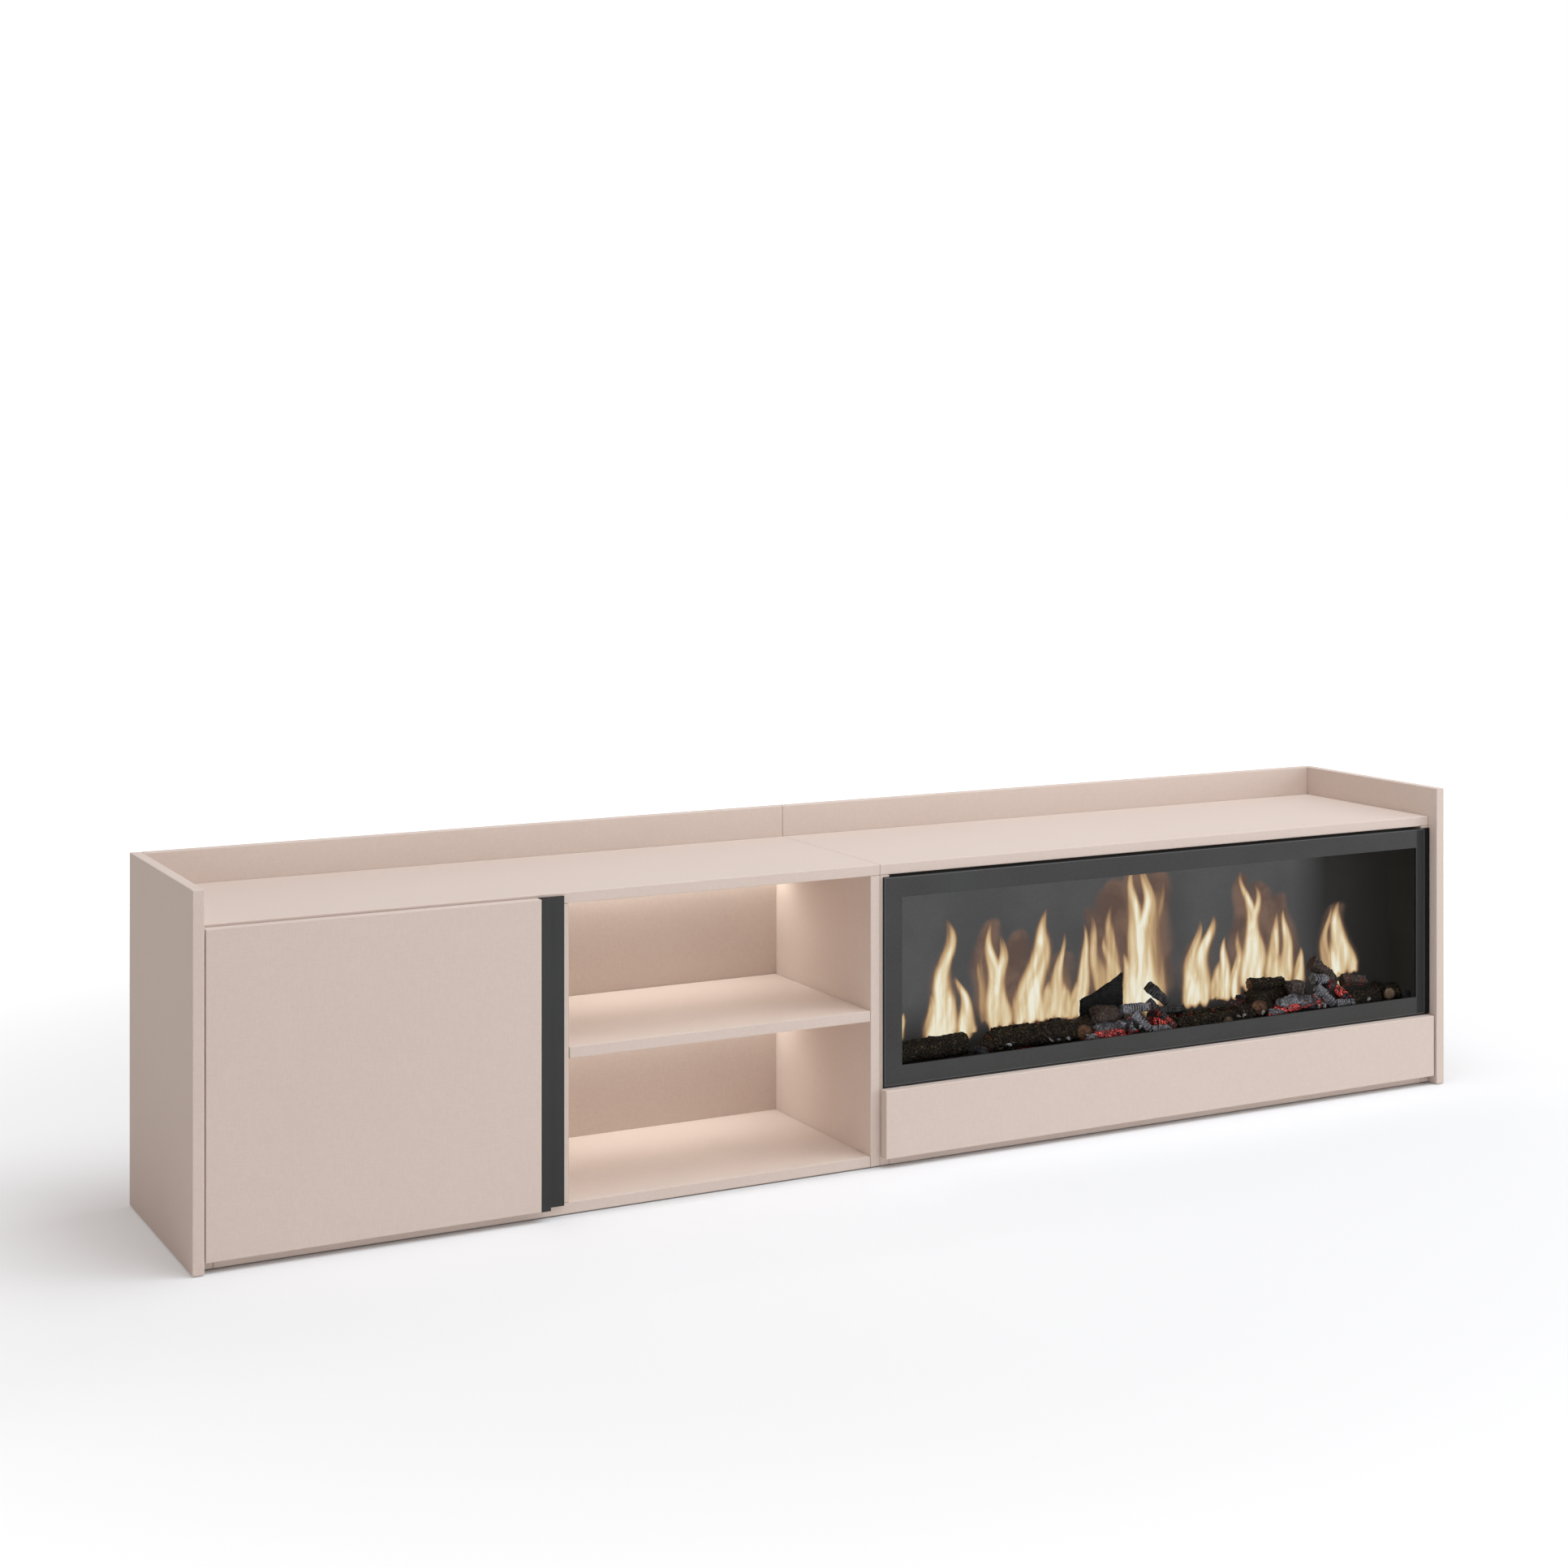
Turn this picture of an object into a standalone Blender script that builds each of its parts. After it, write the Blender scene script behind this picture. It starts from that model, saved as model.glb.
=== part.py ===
"""Low TV stand: a cupboard with a door, an open lit niche and a flame effect fire over a drawer.

Metres, +Z up. The front faces -Y. The origin is on the floor, in the middle of the stand.
"""

import math

import bmesh
import bpy
from mathutils import Matrix, Vector

# Overall size
WIDTH = 2.130
DEPTH = 0.350
HEIGHT = 0.500

# Boards and how they meet
BOARD = 0.016
EDGE_EASE = 0.0006
JOINT_GAP = 0.0003
GALLERY_HEIGHT = 0.049
LEFT_MODULE_WIDTH = 1.0222
FRONT_REVEAL = 0.003
FRONT_CLEARANCE = 0.002
FRONT_FOOT_GAP = 0.0135
CUT_OVERRUN = 0.002

# Thin back panels in their grooves
PANEL = 0.003
PANEL_SETBACK = 0.0047
GROOVE_DEPTH = 0.006

# Shelves between the uprights
SHELF_UNDERSIDE = 0.2175
SHELF_CLEARANCE = 0.0006
CUPBOARD_SHELF_SETBACK = 0.030

# Door, its handle profile and its hinges
DOOR_SIDE_GAP = 0.002
DOOR_TOP_REVEAL = 0.004
HANDLE_WALL = 0.0014
HANDLE_LIP = 0.0132
HANDLE_REACH = 0.0392
HANDLE_OVERLAP = 0.0073
HINGE_INSET = 0.090
CUP_EDGE = 0.005
CUP_RADIUS = 0.0175
CUP_DEPTH = 0.0115
CUP_WALL = 0.0012
CUP_RIM = 0.0035
CUP_FLANGE = 0.0012
CUP_SIDES = 16
PLATE_THICKNESS = 0.004
PLATE_HEIGHT = 0.048
PLATE_WIDTH = 0.020
PLATE_SETBACK = 0.037
ARM_THICKNESS = 0.008
ARM_HEIGHT = 0.014
ARM_LENGTH = 0.062
KNUCKLE_DEPTH = 0.010
KNUCKLE_REACH = 0.010
BUMPER_RADIUS = 0.003
BUMPER_SIDES = 10

# Drawer
DRAWER_FRONT_HEIGHT = 0.102
DRAWER_SIDE_GAP = 0.0027
DRAWER_BOARD = 0.012
DRAWER_BASE = 0.003
DRAWER_BOX_CLEARANCE = 0.008
RUNNER_SPACE = 0.0127
RUNNER_HEIGHT = 0.044
RUNNER_WALL = 0.0012
RUNNER_SETBACK = 0.002
RUNNER_RACE = 0.003

# Push latch behind the drawer
LATCH_LENGTH = 0.046
LATCH_WIDTH = 0.020
LATCH_HEIGHT = 0.030
PLUNGER_HEIGHT = 0.020
PLUNGER_RADIUS = 0.004
PLUNGER_REACH = 0.010
PLUNGER_EMBED = 0.012
PLUNGER_TRAVEL = 0.004
PLUNGER_SIDES = 12

# Fire: shelf, glass and sheet steel chassis
FRONT_SPACING = 0.0025
FIRE_SHELF_LIFT = 0.0015
GLASS_THICKNESS = 0.004
GLASS_TOP_GAP = 0.0035
GLASS_LEFT_INSET = 0.0042
GLASS_RIGHT_INSET = 0.0107
SHEET = 0.0012
CHASSIS_DEPTH = 0.150
CHASSIS_SIDE_GAP = 0.0025
CHASSIS_TOP_GAP = 0.0055

# Fire: screen, ember bed and logs
SCREEN_THICKNESS = 0.003
SCREEN_SETBACK = 0.075
BED_HEIGHT = 0.016
BED_RIPPLE = 0.0015
BED_FRONT_GAP = 0.008
BED_COLUMNS = 36
BED_ROWS = 4
BED_WAVES = 13
LOG_RADIUS = 0.013
LOG_SINK = 0.003
LOG_ROW_INSET = 0.018
LOG_TAPER_SHARE = 0.85
LOG_SIDES = 8
LOG_RINGS = 4
FRONT_LOG_SHARES = ((0.02, 0.13), (0.17, 0.33), (0.47, 0.62), (0.76, 0.93))
BACK_LOG_SHARES = ((0.08, 0.24), (0.30, 0.50), (0.58, 0.80))
STICK_RADIUS = 0.008
STICK_LENGTH = 0.058
STICK_SHARES = (0.205, 0.315, 0.485, 0.60, 0.78)
STICK_TURNS = (math.radians(74), math.radians(108), math.radians(66), math.radians(98), math.radians(80))

# Fire: light bar, flicker rotor, motor and controls
LIGHT_BAR_WIDTH = 0.012
LIGHT_BAR_THICKNESS = 0.003
ROTOR_SETBACK = 0.030
ROTOR_HEIGHT = 0.045
ROTOR_RADIUS = 0.014
SHAFT_RADIUS = 0.003
SHAFT_SIDES = 12
FLAG_COUNT = 14
FLAG_THICKNESS = 0.001
FLAG_WIDTH_SHARE = 0.55
BEARING_WIDTH = 0.012
BEARING_SIZE = 0.024
MOTOR_LENGTH = 0.024
MOTOR_RADIUS = 0.018
MOTOR_SIDES = 20
SHAFT_EMBED = 0.008
CONTROL_WIDTH = 0.120
CONTROL_HEIGHT = 0.050
CONTROL_DEPTH = 0.018
CONTROL_INSET = 0.200

# Power inlet in the back
INLET_WIDTH = 0.032
INLET_HEIGHT = 0.024
INLET_RECESS = 0.0008
INLET_WALL = 0.004
INLET_FLOOR = 0.003
INLET_INSET = 0.160
INLET_LEVEL = 0.180

# Light strips of the niche
CHANNEL_WIDTH = 0.016
CHANNEL_HEIGHT = 0.008
CHANNEL_WALL = 0.0012
CHANNEL_END_GAP = 0.001
DIFFUSER_THICKNESS = 0.0012

# Places along X
LEFT = -WIDTH / 2
RIGHT = WIDTH / 2
LEFT_START = LEFT + BOARD + JOINT_GAP
LEFT_END = LEFT_START + LEFT_MODULE_WIDTH
RIGHT_START = LEFT_END + JOINT_GAP
RIGHT_END = RIGHT - BOARD - JOINT_GAP
DIVIDER_MIDDLE = (LEFT_START + LEFT_END) / 2
CUPBOARD_LEFT = LEFT_START + BOARD
CUPBOARD_RIGHT = DIVIDER_MIDDLE - BOARD / 2
NICHE_LEFT = DIVIDER_MIDDLE + BOARD / 2
NICHE_RIGHT = LEFT_END - BOARD
FIRE_LEFT = RIGHT_START + BOARD
FIRE_RIGHT = RIGHT_END - BOARD

# Places along Y
FRONT = -DEPTH / 2
BACK = DEPTH / 2
FACE_FRONT = FRONT + FRONT_REVEAL
FACE_BACK = FACE_FRONT + BOARD
CARCASS_FRONT = FACE_BACK + FRONT_CLEARANCE
BACK_BOARD_FRONT = BACK - BOARD
CARCASS_BACK = BACK_BOARD_FRONT - JOINT_GAP
PANEL_BACK = CARCASS_BACK - PANEL_SETBACK
PANEL_FRONT = PANEL_BACK - PANEL

# Places along Z
TOP_SURFACE = HEIGHT - GALLERY_HEIGHT
TOP_UNDERSIDE = TOP_SURFACE - BOARD
SIDE_TOP = TOP_UNDERSIDE - JOINT_GAP
FLOOR_TOP = BOARD
DRAWER_FRONT_TOP = FRONT_FOOT_GAP + DRAWER_FRONT_HEIGHT
GLASS_BOTTOM = DRAWER_FRONT_TOP + FRONT_SPACING
GLASS_TOP = TOP_UNDERSIDE - GLASS_TOP_GAP
FIRE_SHELF_TOP = GLASS_BOTTOM + FIRE_SHELF_LIFT
FIRE_SHELF_UNDERSIDE = FIRE_SHELF_TOP - BOARD

# Looks: colour, roughness, metallic
PALE = ((0.61, 0.53, 0.47), 0.55, 0.0)
HARDBOARD = ((0.55, 0.47, 0.41), 0.7, 0.0)
STEEL = ((0.55, 0.55, 0.56), 0.35, 1.0)
BLACK_METAL = ((0.03, 0.03, 0.03), 0.45, 0.6)
BLACK_GLASS = ((0.02, 0.02, 0.02), 0.08, 0.0)
BLACK_PLASTIC = ((0.02, 0.02, 0.02), 0.5, 0.0)
GREY_PLASTIC = ((0.25, 0.25, 0.25), 0.5, 0.0)
CLEAR_RUBBER = ((0.7, 0.7, 0.68), 0.4, 0.0)
WARM_DIFFUSER = ((0.95, 0.85, 0.70), 0.5, 0.0)
CHARCOAL = ((0.05, 0.035, 0.025), 0.9, 0.0)
SMOOTH_ANGLE = math.radians(35)

X_AXIS = Vector((1, 0, 0))
Y_AXIS = Vector((0, 1, 0))
Z_AXIS = Vector((0, 0, 1))

cuts = {}


def clear_scene():
    """Removes the objects that the scene starts with."""
    for item in list(bpy.data.objects):
        bpy.data.objects.remove(item, do_unlink=True)


def paint(item, look):
    """Gives an object a material of its own."""
    colour, roughness, metallic = look
    surface = bpy.data.materials.new(item.name)
    surface.use_nodes = True
    shader = surface.node_tree.nodes["Principled BSDF"]
    shader.inputs["Base Color"].default_value = (*colour, 1)
    shader.inputs["Roughness"].default_value = roughness
    shader.inputs["Metallic"].default_value = metallic
    item.data.materials.append(surface)


def add_box(shape, low, high):
    """Adds a closed box between two corners to a mesh."""
    low, high = Vector(low), Vector(high)
    place = Matrix.Translation((low + high) / 2) @ Matrix.Diagonal((*(high - low), 1))
    bmesh.ops.create_cube(shape, size=1, matrix=place)


def add_rod(shape, start, end, radius, sides):
    """Adds a closed cylinder between two points to a mesh."""
    start, end = Vector(start), Vector(end)
    turn = (end - start).to_track_quat("Z", "Y").to_matrix().to_4x4()
    bmesh.ops.create_cone(
        shape,
        cap_ends=True,
        segments=sides,
        radius1=radius,
        radius2=radius,
        depth=(end - start).length,
        matrix=Matrix.Translation((start + end) / 2) @ turn,
    )


def add_prism(shape, outline, along):
    """Adds a closed prism: an outline of points, drawn out along a vector."""
    face = shape.faces.new([shape.verts.new(point) for point in outline])
    drawn = bmesh.ops.extrude_face_region(shape, geom=[face])["geom"]
    ends = [part for part in drawn if isinstance(part, bmesh.types.BMVert)]
    bmesh.ops.translate(shape, verts=ends, vec=along)


def add_turned(shape, profile, centre, axis, sides):
    """Adds a turned body: (radius, distance along the axis) points that start and end on the axis."""
    turn = axis.to_track_quat("Z", "Y").to_matrix().to_4x4()
    place = Matrix.Translation(centre) @ turn
    rings = []
    for radius, along in profile:
        count = sides if radius else 1
        angles = [math.tau * step / sides for step in range(count)]
        points = [Vector((radius * math.cos(a), radius * math.sin(a), along)) for a in angles]
        rings.append([shape.verts.new(place @ point) for point in points])
    for ring, following in zip(rings, rings[1:]):
        for step in range(sides):
            after = (step + 1) % sides
            corners = [ring[step % len(ring)], ring[after % len(ring)]]
            corners += [following[after % len(following)], following[step % len(following)]]
            shape.faces.new(list(dict.fromkeys(corners)))


def make(name, shape, look, origin=None, smooth=False):
    """Turns a mesh drawn in place into a named object, with its origin in its middle or where asked."""
    bmesh.ops.recalc_face_normals(shape, faces=shape.faces)
    if origin is None:
        corners = [[vertex.co[i] for vertex in shape.verts] for i in range(3)]
        origin = Vector([(min(values) + max(values)) / 2 for values in corners])
    bmesh.ops.translate(shape, verts=shape.verts, vec=-Vector(origin))
    mesh = bpy.data.meshes.new(name)
    shape.to_mesh(mesh)
    shape.free()
    item = bpy.data.objects.new(name, mesh)
    item.location = origin
    bpy.context.scene.collection.objects.link(item)
    if look:
        paint(item, look)
    if smooth:
        mesh.shade_smooth()
        mesh.set_sharp_from_angle(angle=SMOOTH_ANGLE)
    return item


def board(name, low, high, look=PALE):
    """Makes a board between two corners, with eased edges."""
    shape = bmesh.new()
    add_box(shape, low, high)
    item = make(name, shape, look)
    edges = item.modifiers.new("eased_edges", "BEVEL")
    edges.width = EDGE_EASE
    edges.segments = 1
    edges.limit_method = "ANGLE"
    return item


def plate(name, low, high, look):
    """Makes a plain box between two corners."""
    shape = bmesh.new()
    add_box(shape, low, high)
    return make(name, shape, look)


def work(item, kind, shape, operation):
    """Cuts a mesh out of an object, or joins it on."""
    tool = make(f"{item.name}_{kind}", shape, None)
    tool.hide_render = True
    tool.display_type = "WIRE"
    step = item.modifiers.new(kind, "BOOLEAN")
    step.operation = operation
    step.solver = "EXACT"
    step.object = tool


def cut_shape(board_name, kind):
    """The mesh that collects one board's cuts of one kind. The shapes in it lie apart."""
    return cuts.setdefault((board_name, kind), bmesh.new())


def make_cuts():
    """Cuts each board with what was collected for it."""
    for (board_name, kind), shape in cuts.items():
        work(bpy.data.objects[board_name], kind, shape, "DIFFERENCE")


def carry(name, place, items):
    """Hangs pieces on an empty that lies on their joint's axis."""
    pivot = bpy.data.objects.new(name, None)
    pivot.location = place
    bpy.context.scene.collection.objects.link(pivot)
    for item in items:
        item.parent = pivot
        item.location -= pivot.location


def end_panels():
    """The two full height panels that close the stand at its ends."""
    board("left_end_panel", (LEFT, FRONT, 0), (LEFT + BOARD, BACK, HEIGHT))
    board("right_end_panel", (RIGHT - BOARD, FRONT, 0), (RIGHT, BACK, HEIGHT))


def back_boards():
    """The two boards that close the back and rise over the top as its gallery."""
    board("left_back_board", (LEFT_START, BACK_BOARD_FRONT, 0), (LEFT_END, BACK, HEIGHT))
    board("right_back_board", (RIGHT_START, BACK_BOARD_FRONT, 0), (RIGHT_END, BACK, HEIGHT))


def horizontal_boards():
    """The tops, which lie on the uprights, and the bottoms, which fit between them."""
    low, high = (CARCASS_FRONT, TOP_UNDERSIDE), (CARCASS_BACK, TOP_SURFACE)
    board("left_top_board", (LEFT_START, *low), (LEFT_END, *high))
    board("right_top_board", (RIGHT_START, *low), (RIGHT_END, *high))
    low, high = (CARCASS_FRONT, 0), (CARCASS_BACK, FLOOR_TOP)
    board("left_bottom_board", (CUPBOARD_LEFT + JOINT_GAP, *low), (NICHE_RIGHT - JOINT_GAP, *high))
    board("right_bottom_board", (FIRE_LEFT + JOINT_GAP, *low), (FIRE_RIGHT - JOINT_GAP, *high))


def uprights():
    """The sides of both modules, which reach the floor, and the divider, which stands on the bottom."""
    starts = {
        "left_side_board": LEFT_START,
        "left_module_inner_side": NICHE_RIGHT,
        "right_module_inner_side": RIGHT_START,
        "right_side_board": FIRE_RIGHT,
    }
    for name, start in starts.items():
        board(name, (start, CARCASS_FRONT, 0), (start + BOARD, CARCASS_BACK, SIDE_TOP))
    low = (CUPBOARD_RIGHT, CARCASS_FRONT, FLOOR_TOP + JOINT_GAP)
    board("divider_board", low, (NICHE_LEFT, CARCASS_BACK, SIDE_TOP))


def back_panels():
    """The thin panels in grooves near the back of both modules, and the grooves."""
    reach = GROOVE_DEPTH - JOINT_GAP
    spans = {
        "cupboard_back_panel": (CUPBOARD_LEFT, CUPBOARD_RIGHT),
        "niche_back_panel": (NICHE_LEFT, NICHE_RIGHT),
        "right_back_panel": (FIRE_LEFT, FIRE_RIGHT),
    }
    for name, (start, end) in spans.items():
        low = (start - reach, PANEL_FRONT, FLOOR_TOP - reach)
        high = (end + reach, PANEL_BACK, TOP_UNDERSIDE + reach)
        plate(name, low, high, HARDBOARD)
    grooves = {
        "left_side_board": ((CUPBOARD_LEFT - GROOVE_DEPTH, CUPBOARD_LEFT + CUT_OVERRUN),),
        "divider_board": (
            (CUPBOARD_RIGHT - CUT_OVERRUN, CUPBOARD_RIGHT + GROOVE_DEPTH),
            (NICHE_LEFT - GROOVE_DEPTH, NICHE_LEFT + CUT_OVERRUN),
        ),
        "left_module_inner_side": ((NICHE_RIGHT - CUT_OVERRUN, NICHE_RIGHT + GROOVE_DEPTH),),
        "right_module_inner_side": ((FIRE_LEFT - GROOVE_DEPTH, FIRE_LEFT + CUT_OVERRUN),),
        "right_side_board": ((FIRE_RIGHT - CUT_OVERRUN, FIRE_RIGHT + GROOVE_DEPTH),),
    }
    front, back = PANEL_FRONT - JOINT_GAP, PANEL_BACK + JOINT_GAP
    for name, sides in grooves.items():
        for start, end in sides:
            low = (start, front, -CUT_OVERRUN)
            add_box(cut_shape(name, "grooves"), low, (end, back, SIDE_TOP + CUT_OVERRUN))
    for name, start, end in (("left", LEFT_START, LEFT_END), ("right", RIGHT_START, RIGHT_END)):
        low = (start - CUT_OVERRUN, front, TOP_UNDERSIDE - CUT_OVERRUN)
        high = (end + CUT_OVERRUN, back, TOP_UNDERSIDE + GROOVE_DEPTH)
        add_box(cut_shape(f"{name}_top_board", "grooves"), low, high)
        low = (start, front, FLOOR_TOP - GROOVE_DEPTH)
        add_box(cut_shape(f"{name}_bottom_board", "grooves"), low, (end, back, FLOOR_TOP + CUT_OVERRUN))


def shelves():
    """The shelves of the cupboard and the niche, and the one that carries the fire."""
    low = (NICHE_LEFT + SHELF_CLEARANCE, CARCASS_FRONT, SHELF_UNDERSIDE)
    high = (NICHE_RIGHT - SHELF_CLEARANCE, PANEL_FRONT - SHELF_CLEARANCE, SHELF_UNDERSIDE + BOARD)
    board("niche_shelf", low, high)
    low = (CUPBOARD_LEFT + SHELF_CLEARANCE, CARCASS_FRONT + CUPBOARD_SHELF_SETBACK, SHELF_UNDERSIDE)
    high = (CUPBOARD_RIGHT - SHELF_CLEARANCE, PANEL_FRONT - SHELF_CLEARANCE, SHELF_UNDERSIDE + BOARD)
    board("cupboard_shelf", low, high)
    low = (FIRE_LEFT + JOINT_GAP, CARCASS_FRONT, FIRE_SHELF_UNDERSIDE)
    board("fire_shelf", low, (FIRE_RIGHT - JOINT_GAP, PANEL_FRONT - JOINT_GAP, FIRE_SHELF_TOP))


# Places of the door
DOOR_LEFT = LEFT + BOARD + DOOR_SIDE_GAP
HANDLE_RIGHT = CUPBOARD_RIGHT + HANDLE_OVERLAP
HANDLE_LEFT = HANDLE_RIGHT - HANDLE_REACH
DOOR_TOP = TOP_SURFACE - DOOR_TOP_REVEAL
CUP_MIDDLE = DOOR_LEFT + CUP_EDGE + CUP_RADIUS
HINGE_LEVELS = {"lower": FRONT_FOOT_GAP + HINGE_INSET, "upper": DOOR_TOP - HINGE_INSET}
FLANGE_FRONT = FACE_BACK + JOINT_GAP
FLANGE_BACK = FLANGE_FRONT + CUP_FLANGE


def door_panel():
    """The door, which laps over the divider's edge by its handle, bored for the hinge cups."""
    low = (DOOR_LEFT, FACE_FRONT, FRONT_FOOT_GAP)
    door = board("door_panel", low, (HANDLE_LEFT - JOINT_GAP, FACE_BACK, DOOR_TOP))
    for level in HINGE_LEVELS.values():
        mouth = Vector((CUP_MIDDLE, FACE_BACK, level))
        bores = cut_shape("door_panel", "cup_bores")
        bottom = mouth - Y_AXIS * (CUP_DEPTH + JOINT_GAP)
        add_rod(bores, bottom, mouth + Y_AXIS * CUT_OVERRUN, CUP_RADIUS + JOINT_GAP, CUP_SIDES)
    return door


def door_handle():
    """The channel profile along the door's free edge, open towards the niche."""
    web = HANDLE_LEFT + HANDLE_WALL
    lip = HANDLE_LEFT + HANDLE_LIP
    front, back = FACE_FRONT + HANDLE_WALL, FACE_BACK - HANDLE_WALL
    outline = (
        (HANDLE_LEFT, FACE_FRONT),
        (lip, FACE_FRONT),
        (lip, front),
        (web, front),
        (web, back),
        (HANDLE_RIGHT, back),
        (HANDLE_RIGHT, FACE_BACK),
        (HANDLE_LEFT, FACE_BACK),
    )
    shape = bmesh.new()
    add_prism(shape, [(x, y, FRONT_FOOT_GAP) for x, y in outline], Z_AXIS * (DOOR_TOP - FRONT_FOOT_GAP))
    return make("door_handle", shape, BLACK_METAL)


def hinge_cup(name, level):
    """One hinge cup, set in the door's back."""
    shape = bmesh.new()
    floor = -CUP_DEPTH
    rim = FLANGE_FRONT - FACE_BACK
    top = FLANGE_BACK - FACE_BACK
    inner = CUP_RADIUS - CUP_WALL
    profile = (
        (0, floor),
        (CUP_RADIUS, floor),
        (CUP_RADIUS, rim),
        (CUP_RADIUS + CUP_RIM, rim),
        (CUP_RADIUS + CUP_RIM, top),
        (inner, top),
        (inner, floor + CUP_WALL),
        (0, floor + CUP_WALL),
    )
    add_turned(shape, profile, (CUP_MIDDLE, FACE_BACK, level), Y_AXIS, CUP_SIDES)
    return make(name, shape, STEEL, smooth=True)


def hinge_arm(name, level):
    """One hinge arm with its mounting plate on the left side board. It ends just behind the cup."""
    plate_face = CUPBOARD_LEFT + JOINT_GAP
    arm_left = plate_face + PLATE_THICKNESS / 2
    arm_right = plate_face + PLATE_THICKNESS + ARM_THICKNESS
    arm_front = FLANGE_BACK + JOINT_GAP
    knuckle_back = arm_front + KNUCKLE_DEPTH
    arm_back = arm_front + ARM_LENGTH
    knuckle = CUP_MIDDLE + KNUCKLE_REACH
    outline = (
        (arm_left, arm_front),
        (knuckle, arm_front),
        (knuckle, knuckle_back),
        (arm_right, knuckle_back),
        (arm_right, arm_back),
        (arm_left, arm_back),
    )
    shape = bmesh.new()
    start = level - ARM_HEIGHT / 2
    add_prism(shape, [(x, y, start) for x, y in outline], Z_AXIS * ARM_HEIGHT)
    arm = make(name, shape, STEEL)
    middle = CARCASS_FRONT + PLATE_SETBACK
    low = (plate_face, middle - PLATE_WIDTH / 2, level - PLATE_HEIGHT / 2)
    high = (plate_face + PLATE_THICKNESS, middle + PLATE_WIDTH / 2, level + PLATE_HEIGHT / 2)
    mounting = bmesh.new()
    add_box(mounting, low, high)
    work(arm, "plate", mounting, "UNION")


def door_bumper():
    """The soft dot on the divider's front edge, behind the closed door."""
    shape = bmesh.new()
    column = (CUPBOARD_RIGHT + HANDLE_RIGHT) / 2
    level = (FRONT_FOOT_GAP + DOOR_TOP) / 2
    front = (column, FACE_BACK + JOINT_GAP, level)
    add_rod(shape, front, (column, CARCASS_FRONT - JOINT_GAP, level), BUMPER_RADIUS, BUMPER_SIDES)
    make("door_bumper", shape, CLEAR_RUBBER)


def door():
    """The door and all that turns with it, about its front left edge."""
    pieces = [door_panel(), door_handle()]
    for name, level in HINGE_LEVELS.items():
        pieces.append(hinge_cup(f"{name}_hinge_cup", level))
        hinge_arm(f"{name}_hinge_arm", level)
    carry("door_axis", (DOOR_LEFT, FACE_FRONT, FRONT_FOOT_GAP), pieces)
    door_bumper()


# Places of the drawer
DRAWER_FRONT_RIGHT = RIGHT_END - DRAWER_SIDE_GAP
BOX_LEFT = FIRE_LEFT + RUNNER_SPACE
BOX_RIGHT = FIRE_RIGHT - RUNNER_SPACE
BOX_FRONT = FACE_BACK + JOINT_GAP
BOX_BACK = PANEL_FRONT - JOINT_GAP - LATCH_LENGTH - PLUNGER_REACH - JOINT_GAP
BOX_UNDERSIDE = FLOOR_TOP + DRAWER_BOX_CLEARANCE
BOX_TOP = FIRE_SHELF_UNDERSIDE - DRAWER_BOX_CLEARANCE
BOX_SIDE_BASE = BOX_UNDERSIDE + DRAWER_BASE + JOINT_GAP


def drawer_box():
    """The drawer's front and the box behind it, which stands on a thin base."""
    low = (RIGHT_START + JOINT_GAP, FACE_FRONT, FRONT_FOOT_GAP)
    pieces = [board("drawer_front", low, (DRAWER_FRONT_RIGHT, FACE_BACK, DRAWER_FRONT_TOP))]
    sides = {
        "drawer_left_side": (BOX_LEFT, BOX_LEFT + DRAWER_BOARD),
        "drawer_right_side": (BOX_RIGHT - DRAWER_BOARD, BOX_RIGHT),
    }
    for name, (start, end) in sides.items():
        pieces.append(board(name, (start, BOX_FRONT, BOX_SIDE_BASE), (end, BOX_BACK, BOX_TOP)))
    start = BOX_LEFT + DRAWER_BOARD + JOINT_GAP
    end = BOX_RIGHT - DRAWER_BOARD - JOINT_GAP
    ends = {
        "drawer_inner_front": (BOX_FRONT, BOX_FRONT + DRAWER_BOARD),
        "drawer_back": (BOX_BACK - DRAWER_BOARD, BOX_BACK),
    }
    for name, (front, back) in ends.items():
        pieces.append(board(name, (start, front, BOX_SIDE_BASE), (end, back, BOX_TOP)))
    low = (BOX_LEFT, BOX_FRONT, BOX_UNDERSIDE)
    pieces.append(plate("drawer_bottom", low, (BOX_RIGHT, BOX_BACK, BOX_UNDERSIDE + DRAWER_BASE), HARDBOARD))
    return pieces


def runner_outlines():
    """The half outlines of a runner's three nested channels: distance from the module's side, and height
    over the runner's middle line."""
    outer = RUNNER_HEIGHT / 2
    race = outer - RUNNER_WALL - JOINT_GAP
    middle = race - RUNNER_RACE
    inner = middle - JOINT_GAP
    core = inner - RUNNER_RACE
    far = RUNNER_SPACE - JOINT_GAP
    web = JOINT_GAP + RUNNER_WALL
    middle_near = web + RUNNER_WALL
    middle_web = middle_near + RUNNER_WALL
    inner_far = far - RUNNER_WALL
    lips = inner_far - RUNNER_WALL
    inner_near = middle_web + RUNNER_WALL
    cabinet = ((web, race + JOINT_GAP), (lips, race + JOINT_GAP), (lips, outer), (JOINT_GAP, outer))
    sliding = ((middle_web, middle), (lips, middle), (lips, race), (middle_near, race))
    drawer = ((inner_far, core), (inner_near, core), (inner_near, inner), (far, inner))
    return {"cabinet": cabinet, "middle": sliding, "drawer": drawer}


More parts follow.
